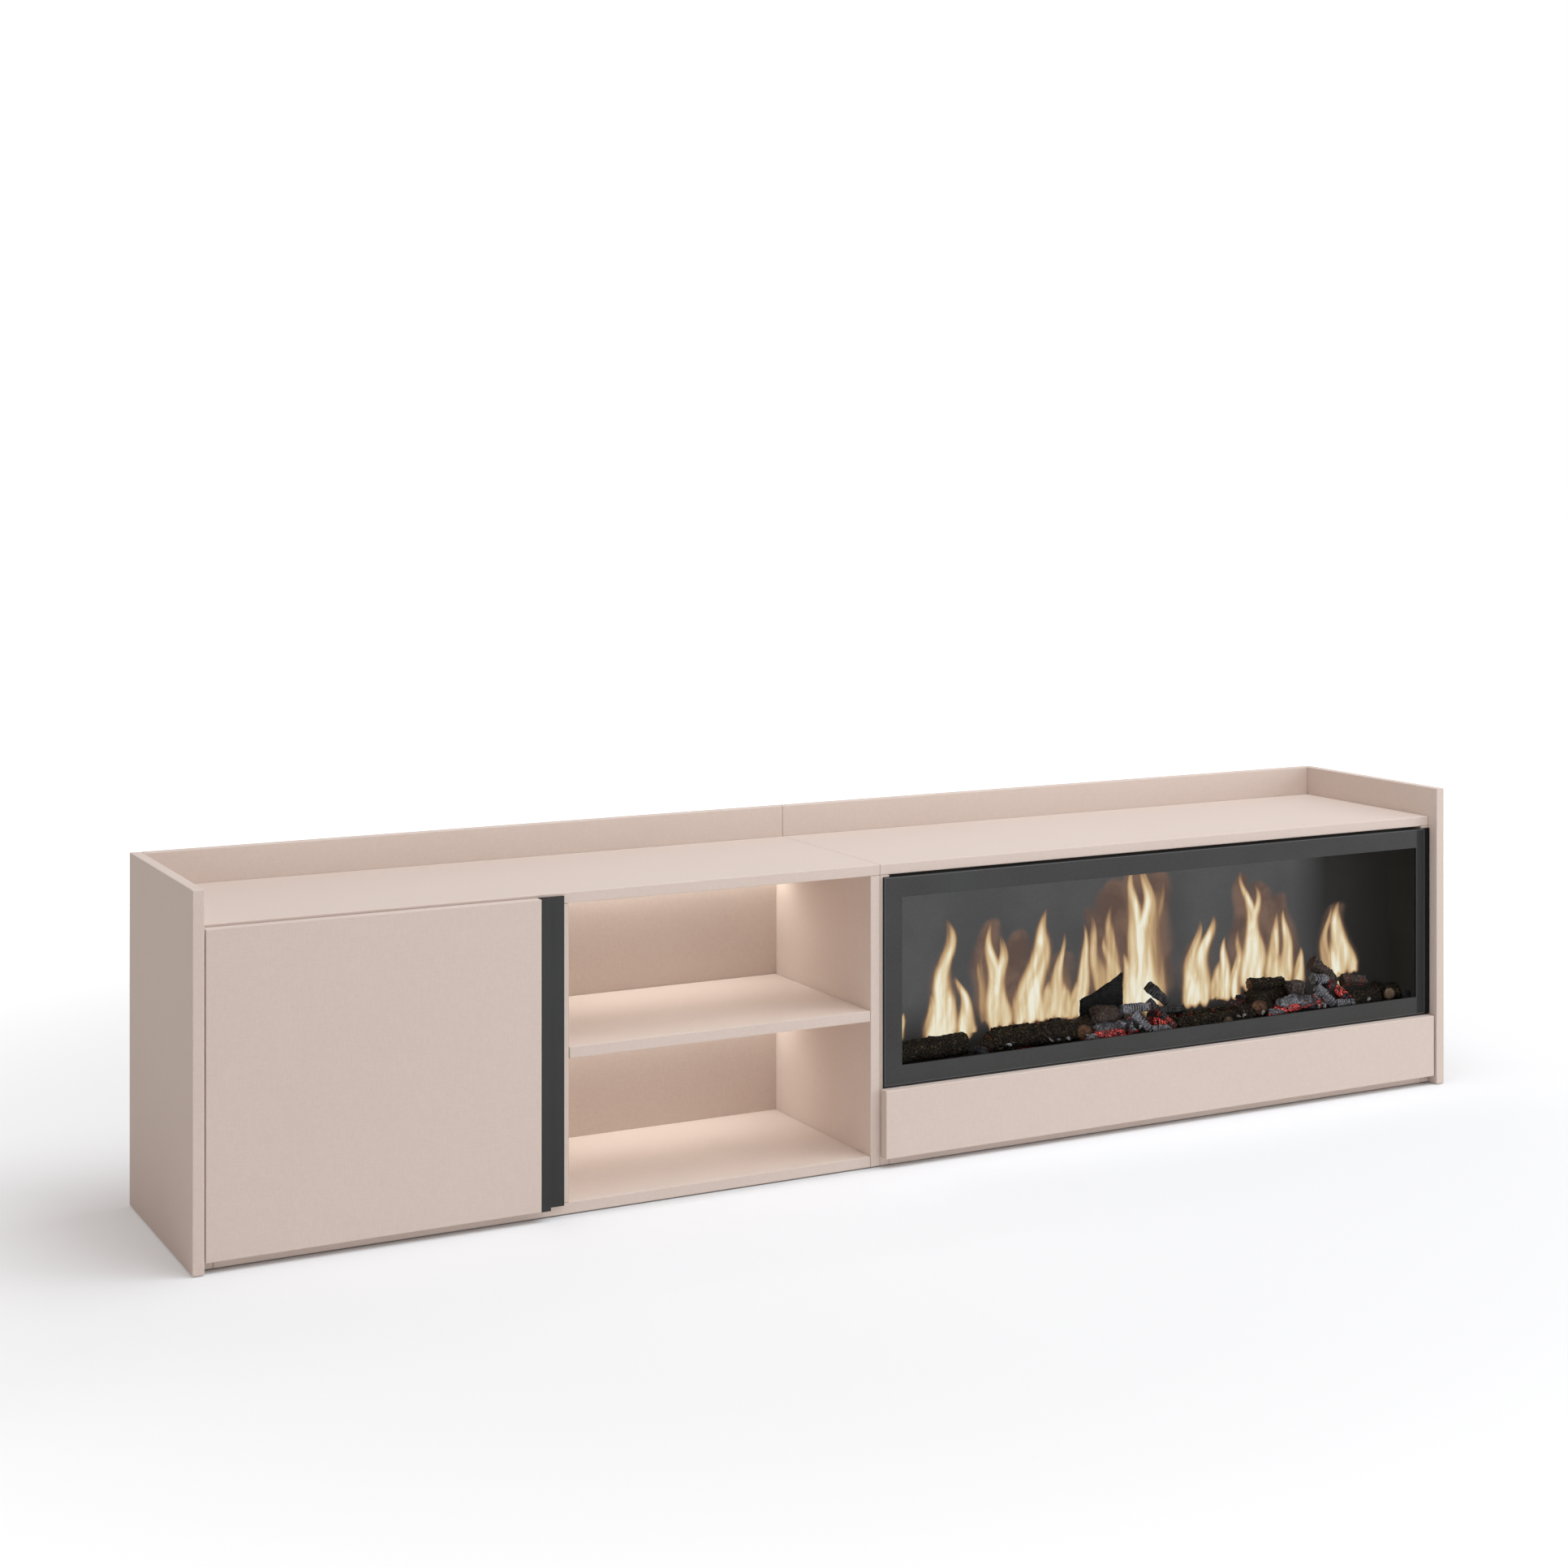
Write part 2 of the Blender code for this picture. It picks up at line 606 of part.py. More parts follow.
def runner(side, face, turn):
    """One runner: the cabinet's channel, the middle one on its own slide, and the drawer's, returned."""
    level = (BOX_SIDE_BASE + BOX_TOP) / 2
    start = CARCASS_FRONT + RUNNER_SETBACK
    items = {}
    for member, half in runner_outlines().items():
        outline = list(half) + [(across, -height) for across, height in reversed(half)]
        points = [(face + turn * across, start, level + height) for across, height in outline]
        shape = bmesh.new()
        add_prism(shape, points, Y_AXIS * (BOX_BACK - start))
        items[member] = make(f"{side}_runner_{member}_member", shape, STEEL)
    middle = items["middle"]
    carry(f"{side}_runner_slide", (middle.location.x, start, level), [middle])
    return items["drawer"]


def push_latch():
    """The latch that pushes the closed drawer out, with its sprung plunger behind the drawer's back."""
    middle = (FIRE_LEFT + FIRE_RIGHT) / 2
    front = BOX_BACK + JOINT_GAP + PLUNGER_REACH
    low = (middle - LATCH_WIDTH / 2, front, FLOOR_TOP + JOINT_GAP)
    high = (middle + LATCH_WIDTH / 2, front + LATCH_LENGTH, FLOOR_TOP + JOINT_GAP + LATCH_HEIGHT)
    board("push_latch_body", low, high, GREY_PLASTIC)
    tip = Vector((middle, BOX_BACK + JOINT_GAP, FLOOR_TOP + JOINT_GAP + PLUNGER_HEIGHT))
    tail = tip + Y_AXIS * (PLUNGER_REACH + PLUNGER_EMBED)
    shape = bmesh.new()
    add_rod(shape, tip, tail, PLUNGER_RADIUS, PLUNGER_SIDES)
    make("push_latch_plunger", shape, BLACK_PLASTIC, origin=tip, smooth=True)
    bore_end = tail + Y_AXIS * (PLUNGER_TRAVEL + PLUNGER_RADIUS)
    add_rod(cut_shape("push_latch_body", "bore"), tip, bore_end, PLUNGER_RADIUS + JOINT_GAP, PLUNGER_SIDES)


def drawer():
    """The drawer with its runners and its latch."""
    pieces = drawer_box()
    pieces.append(runner("left", FIRE_LEFT, 1))
    pieces.append(runner("right", FIRE_RIGHT, -1))
    carry("drawer_slide", ((BOX_LEFT + BOX_RIGHT) / 2, FACE_FRONT, FRONT_FOOT_GAP), pieces)
    push_latch()


# Places of the fire
GLASS_LEFT = RIGHT_START + GLASS_LEFT_INSET
GLASS_RIGHT = RIGHT_END - GLASS_RIGHT_INSET
GLASS_BACK = CARCASS_FRONT - JOINT_GAP
CHASSIS_LEFT = FIRE_LEFT + CHASSIS_SIDE_GAP
CHASSIS_RIGHT = FIRE_RIGHT - CHASSIS_SIDE_GAP
CHASSIS_FRONT = CARCASS_FRONT + JOINT_GAP
CHASSIS_BACK = CHASSIS_FRONT + CHASSIS_DEPTH
CHASSIS_BASE = FIRE_SHELF_TOP + JOINT_GAP
CHASSIS_TOP = TOP_UNDERSIDE - CHASSIS_TOP_GAP
CHAMBER_LEFT = CHASSIS_LEFT + SHEET + JOINT_GAP
CHAMBER_RIGHT = CHASSIS_RIGHT - SHEET - JOINT_GAP
CHAMBER_BASE = CHASSIS_BASE + SHEET + JOINT_GAP
CHAMBER_TOP = CHASSIS_TOP - SHEET - JOINT_GAP
CHAMBER_BACK = CHASSIS_BACK - SHEET - JOINT_GAP
SCREEN_FRONT = CHASSIS_FRONT + SCREEN_SETBACK
SCREEN_BACK = SCREEN_FRONT + SCREEN_THICKNESS
BED_FRONT = CHASSIS_FRONT + BED_FRONT_GAP
BED_BACK = SCREEN_FRONT - JOINT_GAP


def fire_front():
    """The glass over the fire and the narrow black strip that fills the space to its right."""
    front = GLASS_BACK - GLASS_THICKNESS
    board("fire_glass", (GLASS_LEFT, front, GLASS_BOTTOM), (GLASS_RIGHT, GLASS_BACK, GLASS_TOP), BLACK_GLASS)
    low = (GLASS_RIGHT + JOINT_GAP, front, GLASS_BOTTOM)
    board("side_trim_strip", low, (RIGHT_END - JOINT_GAP, GLASS_BACK, GLASS_TOP), BLACK_METAL)


def fire_chassis():
    """The sheet steel plates round the fire: floor, roof, back and two ends."""
    low = (CHASSIS_LEFT, CHASSIS_FRONT, CHASSIS_BASE)
    high = (CHASSIS_RIGHT, CHASSIS_BACK, CHASSIS_BASE + SHEET)
    plate("fire_chassis_floor", low, high, BLACK_METAL)
    low = (CHASSIS_LEFT, CHASSIS_FRONT, CHASSIS_TOP - SHEET)
    plate("fire_chassis_roof", low, (CHASSIS_RIGHT, CHASSIS_BACK, CHASSIS_TOP), BLACK_METAL)
    low = (CHASSIS_LEFT, CHASSIS_BACK - SHEET, CHAMBER_BASE)
    plate("fire_chassis_back", low, (CHASSIS_RIGHT, CHASSIS_BACK, CHAMBER_TOP), BLACK_METAL)
    for side, start in (("left", CHASSIS_LEFT), ("right", CHASSIS_RIGHT - SHEET)):
        low = (start, CHASSIS_FRONT, CHAMBER_BASE)
        plate(f"fire_chassis_{side}_end", low, (start + SHEET, CHAMBER_BACK, CHAMBER_TOP), BLACK_METAL)


def flame_screen():
    """The screen on which the flames appear, behind the logs."""
    low = (CHAMBER_LEFT, SCREEN_FRONT, CHAMBER_BASE)
    plate("flame_screen", low, (CHAMBER_RIGHT, SCREEN_BACK, CHAMBER_TOP), BLACK_GLASS)


def ember_bed():
    """The moulded bed under the logs, rippled on top."""
    shape = bmesh.new()
    add_box(shape, (CHAMBER_LEFT, BED_FRONT, CHAMBER_BASE), (CHAMBER_RIGHT, BED_BACK, CHAMBER_BASE + BED_HEIGHT))
    long_edges = [edge for edge in shape.edges if abs(edge.verts[0].co.x - edge.verts[1].co.x) > BED_HEIGHT]
    bmesh.ops.subdivide_edges(shape, edges=long_edges, cuts=BED_COLUMNS)
    top = CHAMBER_BASE + BED_HEIGHT
    flat = [
        edge
        for edge in shape.edges
        if all(abs(vertex.co.z - top) < JOINT_GAP for vertex in edge.verts)
        and abs(edge.verts[0].co.y - edge.verts[1].co.y) > BED_HEIGHT
    ]
    bmesh.ops.subdivide_edges(shape, edges=flat, cuts=BED_ROWS)
    length = CHAMBER_RIGHT - CHAMBER_LEFT
    for vertex in shape.verts:
        if abs(vertex.co.z - top) < JOINT_GAP:
            along = (vertex.co.x - CHAMBER_LEFT) / length * math.tau * BED_WAVES
            across = (vertex.co.y - BED_FRONT) / (BED_BACK - BED_FRONT) * math.tau
            vertex.co.z = top - BED_RIPPLE * (2 + math.sin(along) * math.cos(across) + math.cos(along / 2)) / 2
    return make("ember_bed", shape, CHARCOAL)


def add_log(shape, start, end, radius, taper_share):
    """Adds a log or stick: a tapered rod of a few rings, whose girth swells and thins a little."""
    start, end = Vector(start), Vector(end)
    length = (end - start).length
    profile = [(0, 0)]
    for ring in range(LOG_RINGS):
        share = ring / (LOG_RINGS - 1)
        girth = radius * (1 - (1 - taper_share) * (1 - math.cos(ring * math.pi / 2)) / 2)
        profile.append((girth, length * share))
    profile.append((0, length))
    add_turned(shape, profile, start, (end - start).normalized(), LOG_SIDES)


def ember_bed_with_logs():
    """The bed with two rows of logs moulded on it and charred sticks across them."""
    bed = ember_bed()
    length = CHAMBER_RIGHT - CHAMBER_LEFT
    level = CHAMBER_BASE + BED_HEIGHT - BED_RIPPLE - LOG_SINK + LOG_RADIUS
    rows = {
        "front_logs": (BED_FRONT + LOG_ROW_INSET, FRONT_LOG_SHARES),
        "back_logs": (BED_BACK - LOG_ROW_INSET, BACK_LOG_SHARES),
    }
    for name, (depth, spans) in rows.items():
        shape = bmesh.new()
        for start, end in spans:
            low = (CHAMBER_LEFT + start * length, depth, level)
            add_log(shape, low, (CHAMBER_LEFT + end * length, depth, level), LOG_RADIUS, LOG_TAPER_SHARE)
        work(bed, name, shape, "UNION")
    sticks = bmesh.new()
    level += LOG_RADIUS + STICK_RADIUS - LOG_SINK
    middle = (BED_FRONT + BED_BACK) / 2
    for share, turn in zip(STICK_SHARES, STICK_TURNS):
        centre = Vector((CHAMBER_LEFT + share * length, middle, level))
        half = Vector((math.cos(turn), math.sin(turn), 0)) * STICK_LENGTH / 2
        add_log(sticks, centre - half, centre + half, STICK_RADIUS, LOG_TAPER_SHARE)
    work(bed, "sticks", sticks, "UNION")


def flicker_rotor():
    """The shaft with flags that makes the flames flicker, in its bearing and its motor."""
    depth = SCREEN_BACK + ROTOR_SETBACK
    level = CHAMBER_BASE + ROTOR_HEIGHT
    bearing_right = CHAMBER_LEFT + BEARING_WIDTH
    motor_left = CHAMBER_RIGHT - MOTOR_LENGTH
    start = Vector((bearing_right - SHAFT_EMBED, depth, level))
    end = Vector((motor_left + SHAFT_EMBED, depth, level))
    shape = bmesh.new()
    add_rod(shape, start, end, SHAFT_RADIUS, SHAFT_SIDES)
    rotor = make("flame_rotor", shape, STEEL, origin=(start + end) / 2)
    flags = bmesh.new()
    pitch = (motor_left - bearing_right) / FLAG_COUNT
    half = Vector((pitch * FLAG_WIDTH_SHARE, FLAG_THICKNESS, ROTOR_RADIUS * 2)) / 2
    for step in range(FLAG_COUNT):
        turn = Matrix.Rotation(step * math.pi / 4, 4, "X")
        place = Matrix.Translation((bearing_right + pitch * (step + 0.5), depth, level))
        size = Matrix.Diagonal((*(half * 2), 1))
        bmesh.ops.create_cube(flags, size=1, matrix=place @ turn @ size)
    work(rotor, "flags", flags, "UNION")
    half = BEARING_SIZE / 2
    low = (CHAMBER_LEFT, depth - half, level - half)
    board("rotor_bearing", low, (bearing_right, depth + half, level + half), BLACK_PLASTIC)
    bore = cut_shape("rotor_bearing", "bore")
    hole = SHAFT_RADIUS + JOINT_GAP
    add_rod(bore, start - X_AXIS * JOINT_GAP, start + X_AXIS * BEARING_WIDTH, hole, SHAFT_SIDES)
    shape = bmesh.new()
    add_rod(shape, (motor_left, depth, level), (CHAMBER_RIGHT, depth, level), MOTOR_RADIUS, MOTOR_SIDES)
    make("rotor_motor", shape, STEEL, smooth=True)
    bore = cut_shape("rotor_motor", "bore")
    add_rod(bore, end - X_AXIS * MOTOR_LENGTH, end + X_AXIS * JOINT_GAP, hole, SHAFT_SIDES)


def fire_electrics():
    """The light bar under the rotor and the control box on the chassis back."""
    middle = SCREEN_BACK + ROTOR_SETBACK
    low = (CHAMBER_LEFT + BEARING_WIDTH, middle - LIGHT_BAR_WIDTH / 2, CHAMBER_BASE)
    high = (CHAMBER_RIGHT - MOTOR_LENGTH, middle + LIGHT_BAR_WIDTH / 2, CHAMBER_BASE + LIGHT_BAR_THICKNESS)
    plate("fire_light_bar", low, high, WARM_DIFFUSER)
    right = CHAMBER_RIGHT - CONTROL_INSET
    low = (right - CONTROL_WIDTH, CHAMBER_BACK - CONTROL_DEPTH, CHAMBER_BASE)
    board("fire_control_box", low, (right, CHAMBER_BACK, CHAMBER_BASE + CONTROL_HEIGHT), GREY_PLASTIC)


def power_inlet():
    """The recessed inlet in the back board, with its open socket."""
    right = RIGHT_END - INLET_INSET
    left = right - INLET_WIDTH
    bottom, top = INLET_LEVEL, INLET_LEVEL + INLET_HEIGHT
    back = BACK - INLET_RECESS
    plate("power_inlet", (left, BACK_BOARD_FRONT, bottom), (right, back, top), BLACK_PLASTIC)
    low = (left + INLET_WALL, BACK_BOARD_FRONT + INLET_FLOOR, bottom + INLET_WALL)
    high = (right - INLET_WALL, back + CUT_OVERRUN, top - INLET_WALL)
    add_box(cut_shape("power_inlet", "socket"), low, high)
    low = (left - JOINT_GAP, BACK_BOARD_FRONT - CUT_OVERRUN, bottom - JOINT_GAP)
    high = (right + JOINT_GAP, BACK + CUT_OVERRUN, top + JOINT_GAP)
    add_box(cut_shape("right_back_board", "inlet_cutout"), low, high)


def niche_light(name, carrier):
    """A light channel at the back under a board, with the diffuser in its mouth."""
    back = PANEL_FRONT - JOINT_GAP
    front = back - CHANNEL_WIDTH
    start, end = NICHE_LEFT + CHANNEL_END_GAP, NICHE_RIGHT - CHANNEL_END_GAP
    top = carrier - JOINT_GAP
    roof = top - CHANNEL_WALL
    mouth = top - CHANNEL_HEIGHT
    outline = (
        (front, mouth),
        (front, top),
        (back, top),
        (back, mouth),
        (back - CHANNEL_WALL, mouth),
        (back - CHANNEL_WALL, roof),
        (front + CHANNEL_WALL, roof),
        (front + CHANNEL_WALL, mouth),
    )
    shape = bmesh.new()
    add_prism(shape, [(start, y, z) for y, z in outline], X_AXIS * (end - start))
    make(f"{name}_light_channel", shape, STEEL)
    inset = CHANNEL_WALL + JOINT_GAP
    low = (start, front + inset, mouth)
    plate(f"{name}_light_diffuser", low, (end, back - inset, mouth + DIFFUSER_THICKNESS), WARM_DIFFUSER)


def main():
    """Builds the whole stand."""
    clear_scene()
    end_panels()
    back_boards()
    horizontal_boards()
    uprights()
    back_panels()
    shelves()
    door()
    drawer()
    fire_front()
    fire_chassis()
    flame_screen()
    ember_bed_with_logs()
    flicker_rotor()
    fire_electrics()
    power_inlet()
    niche_light("upper", TOP_UNDERSIDE)
    niche_light("lower", SHELF_UNDERSIDE)
    make_cuts()


main()
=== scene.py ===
"""Looks of a low TV stand with a lit niche and a flame effect fire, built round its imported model.

Metres, +Z up. The front faces -Y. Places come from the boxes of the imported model's nodes.
"""

import math

import bmesh
import bpy
import numpy as np
from mathutils import Matrix, Vector, noise


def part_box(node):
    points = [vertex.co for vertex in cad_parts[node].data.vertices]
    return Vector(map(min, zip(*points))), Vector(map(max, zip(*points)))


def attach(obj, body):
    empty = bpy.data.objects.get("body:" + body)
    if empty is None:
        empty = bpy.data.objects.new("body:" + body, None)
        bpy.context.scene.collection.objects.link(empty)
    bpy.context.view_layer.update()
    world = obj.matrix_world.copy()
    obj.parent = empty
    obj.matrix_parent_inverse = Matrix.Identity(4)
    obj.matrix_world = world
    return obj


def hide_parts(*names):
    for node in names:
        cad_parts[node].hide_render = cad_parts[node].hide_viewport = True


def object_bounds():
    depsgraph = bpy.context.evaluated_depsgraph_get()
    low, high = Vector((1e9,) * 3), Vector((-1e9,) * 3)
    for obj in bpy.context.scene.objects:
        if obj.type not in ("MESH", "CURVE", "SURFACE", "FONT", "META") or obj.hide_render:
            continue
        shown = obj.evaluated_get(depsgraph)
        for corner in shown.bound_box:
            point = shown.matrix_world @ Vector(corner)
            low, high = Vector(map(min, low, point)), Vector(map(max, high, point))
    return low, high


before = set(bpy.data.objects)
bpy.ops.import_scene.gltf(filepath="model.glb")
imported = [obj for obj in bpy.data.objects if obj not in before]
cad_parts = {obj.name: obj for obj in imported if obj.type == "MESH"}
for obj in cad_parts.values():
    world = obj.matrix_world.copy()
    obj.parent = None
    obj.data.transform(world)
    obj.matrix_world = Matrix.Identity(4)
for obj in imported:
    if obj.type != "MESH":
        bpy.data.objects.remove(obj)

CAD_LOW, CAD_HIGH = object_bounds()

# Camera
CAMERA_PLACE = (-1.8791, -3.3573, 1.0578)
CAMERA_TURN = math.radians(-27.817)
CAMERA_LENS = 56.72
HORIZON_ROW = 565.7
PHOTO_SIZE = 1932

# Studio
FLOOR_REACH = 30.0
FLOOR_WHITE = 0.95
FLOOR_TINT = (0.98, 1.0, 1.03)
FLOOR_GLOW_FOOT = 0.20
FLOOR_GLOW_NEAR = 0.54
FLOOR_GLOW_FAR = 1.00
FLOOR_GLOW_RISE = 0.55
FLOOR_GLOW_FADE = 0.02
FLOOR_GLOW_REACH = (0.9, 3.2)
# Name, place, size and power of each lamp
STUDIO_LAMPS = (
    ("overhead", (0.6, -1.0, 4.2), (3.0, 3.0), 111.0),
    ("side", (4.0, -2.6, 1.7), (2.4, 2.4), 49.5),
    ("low", (0.0, -3.2, 0.25), (4.4, 0.5), 16.0),
)
LAMP_AIM = (0.2, 0.0, 0.3)
LAMP_COLOUR = (0.945, 1.0, 1.04)
FILL_STRENGTH = 0.43
FILL_COLOUR = (1.0, 0.88, 0.82)
FLOOR_BOUNCE = (0.80, 0.79, 0.78)

# Glass: its clear window, as insets from the pane's edges, then where the painted shade line at its edge
# fades and where the painted highlight along its edge rises and falls, as distances from its edges
WINDOW_LEFT_INSET = 0.0315
WINDOW_RIGHT_INSET = 0.0200
WINDOW_BOTTOM_INSET = 0.0295
WINDOW_TOP_INSET = 0.0315
EDGE_SHADE_FADE = (0.0004, 0.0010)
EDGE_HIGHLIGHT_RISE = (0.0008, 0.0012)
EDGE_HIGHLIGHT_FALL = (0.0017, 0.0022)
GLASS_IOR = 1.11

# Gloss of the clear glass starts at this share of reflected light, which it has only at a slant
GLASS_GLOSS_FLOOR = 0.012

# Niche light
STRIP_DROP = 0.0015
STRIP_POWER = 0.37
STRIP_COLOUR = (0.96, 1.0, 0.98)
STRIP_SPREAD = math.radians(150)
STRIP_LEAN = math.radians(10)

# Flame picture
PICTURE_STEP = 0.0026

# Where most of a noise's values lie
NOISE_SPAN = (0.3, 0.7)

# Edges sharper than this stay sharp on a smooth piece
LOG_SMOOTH = math.radians(50)
STICK_SMOOTH = math.radians(40)
CRISP_SMOOTH = math.radians(35)

X_AXIS = Vector((1, 0, 0))
Y_AXIS = Vector((0, 1, 0))


def shade(red, green, blue):
    """A screen colour, 0 to 255, as linear light."""
    values = [part / 255 for part in (red, green, blue)]
    return tuple(v / 12.92 if v <= 0.04045 else ((v + 0.055) / 1.055) ** 2.4 for v in values)


class Finish:
    """A material with short ways to add what its surface needs."""

    def __init__(self, name):
        self.material = bpy.data.materials.new(name)
        self.material.use_nodes = True
        self.tree = self.material.node_tree
        self.shader = self.tree.nodes["Principled BSDF"]
        self.place = self.add("ShaderNodeTexCoord").outputs["Object"]

    def add(self, kind, **settings):
        """Adds a node with its settings."""
        node = self.tree.nodes.new(kind)
        for name, value in settings.items():
            setattr(node, name, value)
        return node

    def feed(self, socket, source):
        """Links an output to a socket, or sets the socket's own value."""
        if isinstance(source, bpy.types.NodeSocket):
            self.tree.links.new(source, socket)
        elif socket.type == "RGBA":
            socket.default_value = (*source[:3], 1)
        else:
            socket.default_value = source

    def set(self, **values):
        """Feeds the shader's sockets, named with underscores for spaces."""
        for name, value in values.items():
            self.feed(self.shader.inputs[name.replace("_", " ")], value)

    def stretched(self, scale, turn=(0, 0, 0)):
        """The object's own coordinates, scaled and turned."""
        mapping = self.add("ShaderNodeMapping")
        self.feed(mapping.inputs["Vector"], self.place)
        self.feed(mapping.inputs["Scale"], scale)
        self.feed(mapping.inputs["Rotation"], turn)
        return mapping.outputs["Vector"]

    def grain(self, scale, detail=3.0, roughness=0.55, place=None, distortion=0.0):
        """A noise between 0 and 1."""
        node = self.add("ShaderNodeTexNoise")
        self.feed(node.inputs["Vector"], place or self.place)
        self.feed(node.inputs["Scale"], scale)
        self.feed(node.inputs["Detail"], detail)
        self.feed(node.inputs["Roughness"], roughness)
        self.feed(node.inputs["Distortion"], distortion)
        return node.outputs["Fac"]

    def cells(self, scale, place=None, feature="DISTANCE_TO_EDGE"):
        """The distance inside cells: 0 on their edges, or on their middles."""
        node = self.add("ShaderNodeTexVoronoi", feature=feature)
        self.feed(node.inputs["Vector"], place or self.place)
        self.feed(node.inputs["Scale"], scale)
        return node.outputs["Distance"]

    def warped(self, scale, reach):
        """The object's own coordinates, pushed about by a noise, so that patterns lose their order."""
        pushes = self.add("ShaderNodeTexNoise")
        self.feed(pushes.inputs["Vector"], self.place)
        self.feed(pushes.inputs["Scale"], scale)
        shift = self.add("ShaderNodeVectorMath", operation="MULTIPLY_ADD")
        self.feed(shift.inputs[0], pushes.outputs["Color"])
        self.feed(shift.inputs[1], (reach, reach, reach))
        self.feed(shift.inputs[2], self.place)
        return shift.outputs["Vector"]

    def maths(self, operation, first, second=0.0):
        """One operation on two numbers or outputs."""
        node = self.add("ShaderNodeMath", operation=operation)
        self.feed(node.inputs[0], first)
        self.feed(node.inputs[1], second)
        return node.outputs[0]

    def spread(self, source, low, high, start=0.0, end=1.0):
        """Maps an output from start..end to low..high, smoothly and clamped."""
        node = self.add("ShaderNodeMapRange", interpolation_type="SMOOTHSTEP")
        self.feed(node.inputs["Value"], source)
        for name, value in (("From Min", start), ("From Max", end), ("To Min", low), ("To Max", high)):
            self.feed(node.inputs[name], value)
        return node.outputs["Result"]

    def share(self, source, start, end):
        """0 up to the start, 1 from the end on, and smooth between."""
        return self.spread(source, 0, 1, start, end)

    def times(self, first, second):
        """The product of two numbers or outputs."""
        return self.maths("MULTIPLY", first, second)

    def plus(self, first, second):
        """The sum of two numbers or outputs."""
        return self.maths("ADD", first, second)

    def rough(self, source, low, high, specular=None):
        """Roughness that follows a noise, and how much of the light the surface mirrors."""
        self.set(Roughness=self.spread(source, low, high, *NOISE_SPAN))
        if specular is not None:
            self.set(Specular_IOR_Level=specular)

    def blend(self, share, first, second):
        """Blends two shaders."""
        node = self.add("ShaderNodeMixShader")
        for socket, source in zip(node.inputs, (share, first, second)):
            self.feed(socket, source)
        return node.outputs[0]

    def surface(self, shader):
        """Makes a shader the material's surface."""
        self.feed(self.tree.nodes["Material Output"].inputs["Surface"], shader)

    def mix(self, share, first, second):
        """Blends two colours."""
        node = self.add("ShaderNodeMix", data_type="RGBA")
        self.feed(node.inputs[0], share)
        self.feed(node.inputs[6], first)
        self.feed(node.inputs[7], second)
        return node.outputs[2]

    def ramp(self, source, stops):
        """A colour ramp: (place, colour) stops, of which the first is at 0 and the last at 1."""
        node = self.add("ShaderNodeValToRGB")
        elements = node.color_ramp.elements
        elements[0].color = (*stops[0][1], 1)
        elements[1].color = (*stops[-1][1], 1)
        for place, colour in stops[1:-1]:
            elements.new(place).color = (*colour, 1)
        self.feed(node.inputs["Fac"], source)
        return node.outputs["Color"]

    def relief(self, height, distance, strength=1.0):
        """Gives the surface a bump of a real height."""
        node = self.add("ShaderNodeBump")
        self.feed(node.inputs["Height"], height)
        self.feed(node.inputs["Distance"], distance)
        self.feed(node.inputs["Strength"], strength)
        self.set(Normal=node.outputs["Normal"])

    def axis(self, letter):
        """One of the object's own coordinates."""
        node = self.add("ShaderNodeSeparateXYZ")
        self.feed(node.inputs[0], self.place)
        return node.outputs[letter]

    def attribute(self, name):
        """A value stored on the mesh's points."""
        return self.add("ShaderNodeAttribute", attribute_name=name).outputs["Fac"]


# Finishes of the boards and panels

PALE = shade(219, 204, 195)
PALE_LOW = shade(212, 196, 186)
THREAD_SCALE = 700.0
THREAD_STRETCH = 0.16
EDGE_ROUND = 0.0005
EDGE_ANGLE = math.radians(40)
WELD_REACH = 0.00001


def linen_threads(finish):
    """The pressed linen of the boards: fine threads along each of the three directions, averaged."""
    total = None
    for scale in ((THREAD_STRETCH, 1, 1), (1, THREAD_STRETCH, 1), (1, 1, THREAD_STRETCH)):
        thread = finish.grain(THREAD_SCALE, detail=2.0, place=finish.stretched(scale))
        total = thread if total is None else finish.plus(total, thread)
    return finish.maths("DIVIDE", total, 3.0)


def pale_melamine():
    """Melamine face and edging: pale, matt, with a pressed linen grain and a faint cloudiness."""
    finish = Finish("pale_melamine")
    threads = linen_threads(finish)
    cloud = finish.grain(5.0, detail=2.0)
    tone = finish.plus(finish.spread(threads, 0.0, 0.7, 0.38, 0.62), finish.spread(cloud, 0.0, 0.3))
    finish.set(Base_Color=finish.mix(tone, PALE_LOW, PALE))
    finish.set(Roughness=finish.spread(threads, 0.50, 0.64, 0.35, 0.65))
    finish.set(Specular_IOR_Level=0.35)
    finish.relief(threads, 0.00012, 0.5)
    return finish.material


def pale_hardboard():
    """The thin back panels and the drawer's base: the same decor, printed on hardboard."""
    finish = Finish("pale_hardboard")
    threads = linen_threads(finish)
    tone = finish.share(threads, 0.36, 0.62)
    finish.set(Base_Color=finish.mix(tone, shade(206, 189, 178), shade(213, 197, 186)))
    finish.rough(threads, 0.58, 0.72, specular=0.3)
    finish.relief(threads, 0.00008, 0.4)
    return finish.material


# Finishes of metal, plastic and rubber

PEEL_LIFT = 1.18
DRAWN_STRETCH = 0.05
DOT_PITCH = 0.0083
DIFFUSER_GLOW = 2.2


